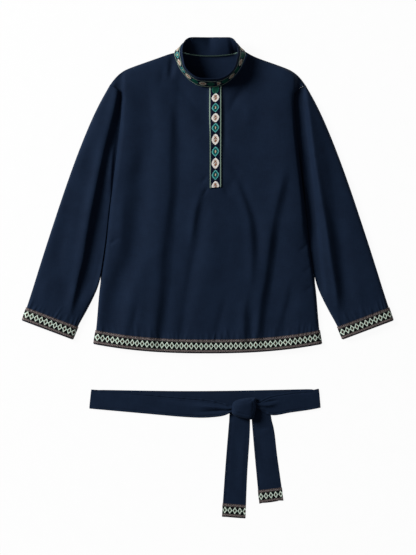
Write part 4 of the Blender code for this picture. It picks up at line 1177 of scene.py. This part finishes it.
def belt_cloth(name):
    """A stretch of belt, with its gathers and the small puckers of its edge stitching."""
    piece = rounded_copy(f"{name}_cloth", name, levels=2, finer_top=True)
    edges = [line[:, :2] for line in border_lines(name, BELT_BORDER)]
    short, long = EDGE_WAVE_LENGTHS

    def field(x, y):
        total = pressed(BELT_CREASES, x, y)
        for number, edge in enumerate(edges):
            gap, far = beside(edge, x, y)
            draw = np.random.default_rng(len(name) + 7 * number)
            wave = np.sin(far / short + draw.uniform(0.0, 6.0)) * np.sin(far / long)
            ridge = np.exp(-((np.abs(gap) - EDGE_WAVE_AT) / EDGE_WAVE_WIDTH) ** 2)
            total += EDGE_WAVE * wave * ridge
            total -= STITCH_DENT * np.exp(-((np.abs(gap) - STITCH_INSET) / DENT_WIDTH) ** 2)
        return total

    points = points_of(piece.data)
    top = normals_of(piece.data)[:, 2] > BELT_UPPER
    points[:, 2] += np.where(top, field(points[:, 0], points[:, 1]), 0.0)
    if name in BELT_TUCKS:
        axis, limit, pull, lift = BELT_TUCKS[name]
        beyond = (points[:, axis] - limit) if pull > 0.0 else (-limit - points[:, axis])
        part = ease(beyond / TUCK_REACH)
        points[:, axis] += pull * part
        points[:, 2] += lift * part
    points[:, 2] = np.maximum(points[:, 2], 0.0)
    put_points(piece.data, points)
    return shade(piece)


def knot_cloth():
    """The knot: one wrap of the belt, drawn in by folds from its corners."""
    piece = rounded_copy("belt_knot_cloth", "belt_knot", levels=4, border=0.15)
    points = points_of(piece.data)
    normal = normals_of(piece.data)
    lift = pressed(KNOT_CREASES, points[:, 0], points[:, 1])
    points += normal * (lift * ease(normal[:, 2] * 2.0))[:, None]
    put_points(piece.data, points)
    return shade(piece, angle=80.0)


def leftward(line):
    """Directions square to a flat line at its points, to its left."""
    step = np.gradient(line, axis=0)
    step /= np.linalg.norm(step, axis=1)[:, None]
    return np.stack((-step[:, 1], step[:, 0]), axis=-1)


def seam_strip(name, line, surface, width, crown, level_rank=-1):
    """A narrow folded edge laid along a seam, at the rank of the heights under its width."""
    length = run_of(line)[-1]
    centre = along(line, np.linspace(0.0, length, int(length / LINE_STEP)))
    rows = np.linspace(-0.5, 0.5, SEAM_ROWS)[:, None, None] * width
    grid = centre[None] + rows * leftward(centre)[None]
    heights = surface.heights(grid[..., 0], grid[..., 1])
    level = np.sort(heights, axis=0)[level_rank]
    window = np.ones(SEAM_SMOOTH) / SEAM_SMOOTH
    smooth = np.convolve(np.pad(level, SEAM_SMOOTH // 2, mode="edge"), window, mode="valid")
    bulge = crown * (1.0 - np.linspace(-1.0, 1.0, SEAM_ROWS)[:, None] ** 2)
    z = np.broadcast_to(np.maximum(smooth, level) + LAID_GAP, heights.shape) + bulge
    return thickened(grid_piece(name, np.concatenate((grid, z[..., None]), axis=-1)), SEAM_CLOTH)


def stitch_tree():
    """Nodes that sew a row of stitches along each line of a mesh, and their inputs by name."""
    tree = bpy.data.node_groups.new("stitch rows", "GeometryNodeTree")
    sockets = {}
    for name, kind in (("Lines", "Geometry"), ("Pitch", "Float"), ("Length", "Float"),
                       ("Thickness", "Float"), ("Thread", "Material")):
        socket = tree.interface.new_socket(name, in_out="INPUT", socket_type=f"NodeSocket{kind}")
        sockets[name] = socket.identifier
    tree.interface.new_socket("Stitches", in_out="OUTPUT", socket_type="NodeSocketGeometry")
    add = tree.nodes.new
    start, end = add("NodeGroupInput"), add("NodeGroupOutput")
    curve = add("GeometryNodeMeshToCurve")
    points = add("GeometryNodeCurveToPoints")
    points.mode = "LENGTH"
    bead = add("GeometryNodeMeshUVSphere")
    bead.inputs["Segments"].default_value = 6
    bead.inputs["Rings"].default_value = 4
    bead.inputs["Radius"].default_value = 0.5
    size = add("ShaderNodeCombineXYZ")
    shape = add("GeometryNodeTransform")
    instance = add("GeometryNodeInstanceOnPoints")
    real = add("GeometryNodeRealizeInstances")
    thread = add("GeometryNodeSetMaterial")
    for node, out, other, into in (
            (start, "Lines", curve, "Mesh"), (curve, "Curve", points, "Curve"),
            (start, "Pitch", points, "Length"), (start, "Thickness", size, "X"),
            (start, "Thickness", size, "Y"), (start, "Length", size, "Z"),
            (bead, "Mesh", shape, "Geometry"), (size, "Vector", shape, "Scale"),
            (points, "Points", instance, "Points"), (points, "Rotation", instance, "Rotation"),
            (shape, "Geometry", instance, "Instance"), (instance, "Instances", real, "Geometry"),
            (real, "Geometry", thread, "Geometry"), (start, "Thread", thread, "Material"),
            (thread, "Geometry", end, "Stitches")):
        tree.links.new(node.outputs[out], other.inputs[into])
    return tree, sockets


def stitches(name, lines, tree_and_sockets, material):
    """Rows of stitches along lines that already lie on the cloth."""
    tree, sockets = tree_and_sockets
    points, edges = [], []
    for line in lines:
        first = len(points)
        points += [tuple(point) for point in np.asarray(line) * MM]
        edges += [(index, index + 1) for index in range(first, len(points) - 1)]
    mesh = bpy.data.meshes.new(name)
    mesh.from_pydata(points, edges, [])
    piece = new_piece(name, mesh)
    rows = piece.modifiers.new("stitch rows", "NODES")
    rows.node_group = tree
    for socket, value in (("Pitch", STITCH_PITCH * MM), ("Length", STITCH_LENGTH * MM),
                          ("Thickness", STITCH_THICK * MM), ("Thread", material)):
        rows[sockets[socket]] = value
    return plain_mesh(piece)


def on_cloth(surface, line):
    """A flat line laid on the cloth's upper face."""
    dense = along(line, np.arange(0.0, run_of(line)[-1], LINE_STEP))
    heights = surface.heights(dense[:, 0], dense[:, 1])
    return np.concatenate((dense, heights[:, None] + STITCH_GAP), axis=1)


def edge_rows(name):
    """Both long edges of a belt stretch, moved in to where they are stitched."""
    edges = [line for line in border_lines(name, BELT_BORDER)
             if line[:, 2].mean() > BELT_UPPER_EDGE]
    edges = [line[:, :2] for line in edges if run_of(line)[-1] > BELT_LONG_EDGE][:2]
    middle = np.mean([along(edge, [0.5 * run_of(edge)[-1]])[0] for edge in edges], axis=0)
    rows = []
    for edge in edges:
        line = smooth_line(edge, ROUTE_STEPS)
        centre = len(line) // 2
        moved = [line + inset * leftward(line) for inset in (STITCH_INSET, -STITCH_INSET)]
        rows.append(min(moved, key=lambda row: math.dist(row[centre], middle))[2:-2])
    return rows


def sew(name, lines, material):
    """Sews rows of stitches as a piece of their own."""
    dress(stitches(name, lines, STITCH_TREE, material), [], material)


def sew_on(under, name, rows, material):
    """Sews flat rows of stitches onto the upper face of a finished piece."""
    surface = Surface(under)
    sew(name, [on_cloth(surface, row) for row in rows], material)


def straight(corners, first, second, inset):
    """A line between two of a strip's corners, moved in from its edge."""
    middle = np.mean(corners, axis=0)
    start, end = corners[first], corners[second]
    across = np.array((start[1] - end[1], end[0] - start[0])) / math.dist(start, end)
    if np.dot(across, middle - start) < 0.0:
        across = -across
    step = ROW_END * (end - start) / math.dist(start, end)
    return np.array((start + inset * across + step, end + inset * across - step))


camera()
studio()
front = pressed_shell("front", body_field, FRONT_FLOORS)
dress(front, ["front"], COTTON)
dress(back_cloth(), ["back"], COTTON)
for name, side in SIDES:
    node = f"sleeve_{name}"
    sleeve = pressed_shell(node, partial(sleeve_field, name, side), SLEEVE_FLOORS)
    dress(sleeve, [node], COTTON)
ring = ribbon_ring("hem_band", Surface("front_cloth"), hem_place, 2.0 * HEM_HALF,
                   lambda at: (1.0, 0.0) if at == -1 else (-1.0, 0.0))
dress(ring, ["hem_ribbon"], RIBBON)
for name, side in SIDES:
    sleeve = f"sleeve_{name}_cloth"
    dress(cuff_band(name, side, Surface(sleeve)), [f"cuff_ribbon_{name}"],
          RIBBON)
    seam = seam_strip(f"armhole_seam_{name}", smooth_line(ARMHOLE * (side, 1.0), steps=5),
                      Surface("front_cloth", sleeve), width=2.6, crown=0.2, level_rank=1)
    dress(seam, [], COTTON)
placket, placket_band = placket_pieces(Surface("front_cloth"))
dress(placket, ["placket"], COTTON)
dress(placket_band, ["placket_ribbon"], RIBBON)
collar_form = CollarForm()
collar, collar_band = collar_pieces(collar_form)
dress(collar, ["collar"], COTTON)
dress(collar_band, ["collar_ribbon"], RIBBON)
piping = seam_strip("neck_piping_cord", smooth_line(PIPING, steps=8), Surface("back_cloth"),
                    width=2.8, crown=1.0)
dress(piping, ["neck_piping"], piping_material())
for name in ("belt_back", *BELT_TUCKS):
    dress(belt_cloth(name), [name], BELT_COTTON)
dress(knot_cloth(), ["belt_knot"], BELT_COTTON)
for name, _ in SIDES:
    band = tail_band(name, Surface(f"belt_tail_{name}_cloth"))
    dress(band, [f"belt_ribbon_{name}"], RIBBON)

STITCH_TREE = stitch_tree()
RIBBON_EDGES = (BAND_STITCH_INSET, HEM_RIBBON_WIDTH - BAND_STITCH_INSET)
share = np.linspace(-ROW_SHARE, ROW_SHARE, ROW_POINTS)
rows = [np.stack(hem_place(share, up), axis=-1) for up in RIBBON_EDGES]
sew_on("hem_band", "hem_stitches", rows, DARK_THREAD)
for name, side in SIDES:
    rows = [np.stack(cuff_place(side)(share, up), axis=-1) for up in RIBBON_EDGES]
    sew_on(f"cuff_band_{name}", f"cuff_stitches_{name}", rows, DARK_THREAD)
    corners = quad_corners(f"belt_ribbon_{name}")
    rows = [straight(corners, *pair, BAND_STITCH_INSET) for pair in ((0, 1), (2, 3))]
    sew_on(f"belt_band_{name}", f"belt_band_stitches_{name}", rows, DARK_THREAD)
corners = quad_corners("placket_ribbon")
rows = [straight(corners, *pair, PLACKET_STITCH_INSET) for pair in ((0, 2), (1, 3), (0, 1))]
sew_on("placket_band", "placket_stitches", rows, SAGE_THREAD)
lines, inner = collar_form.stitch_lines()
sew("collar_stitches", lines, SAGE_THREAD)
sew("collar_rim_stitches", inner, NAVY_THREAD)
for name in (*BELT_TUCKS, "belt_back"):
    sew_on(f"{name}_cloth", f"{name}_stitches", edge_rows(name), NAVY_THREAD)
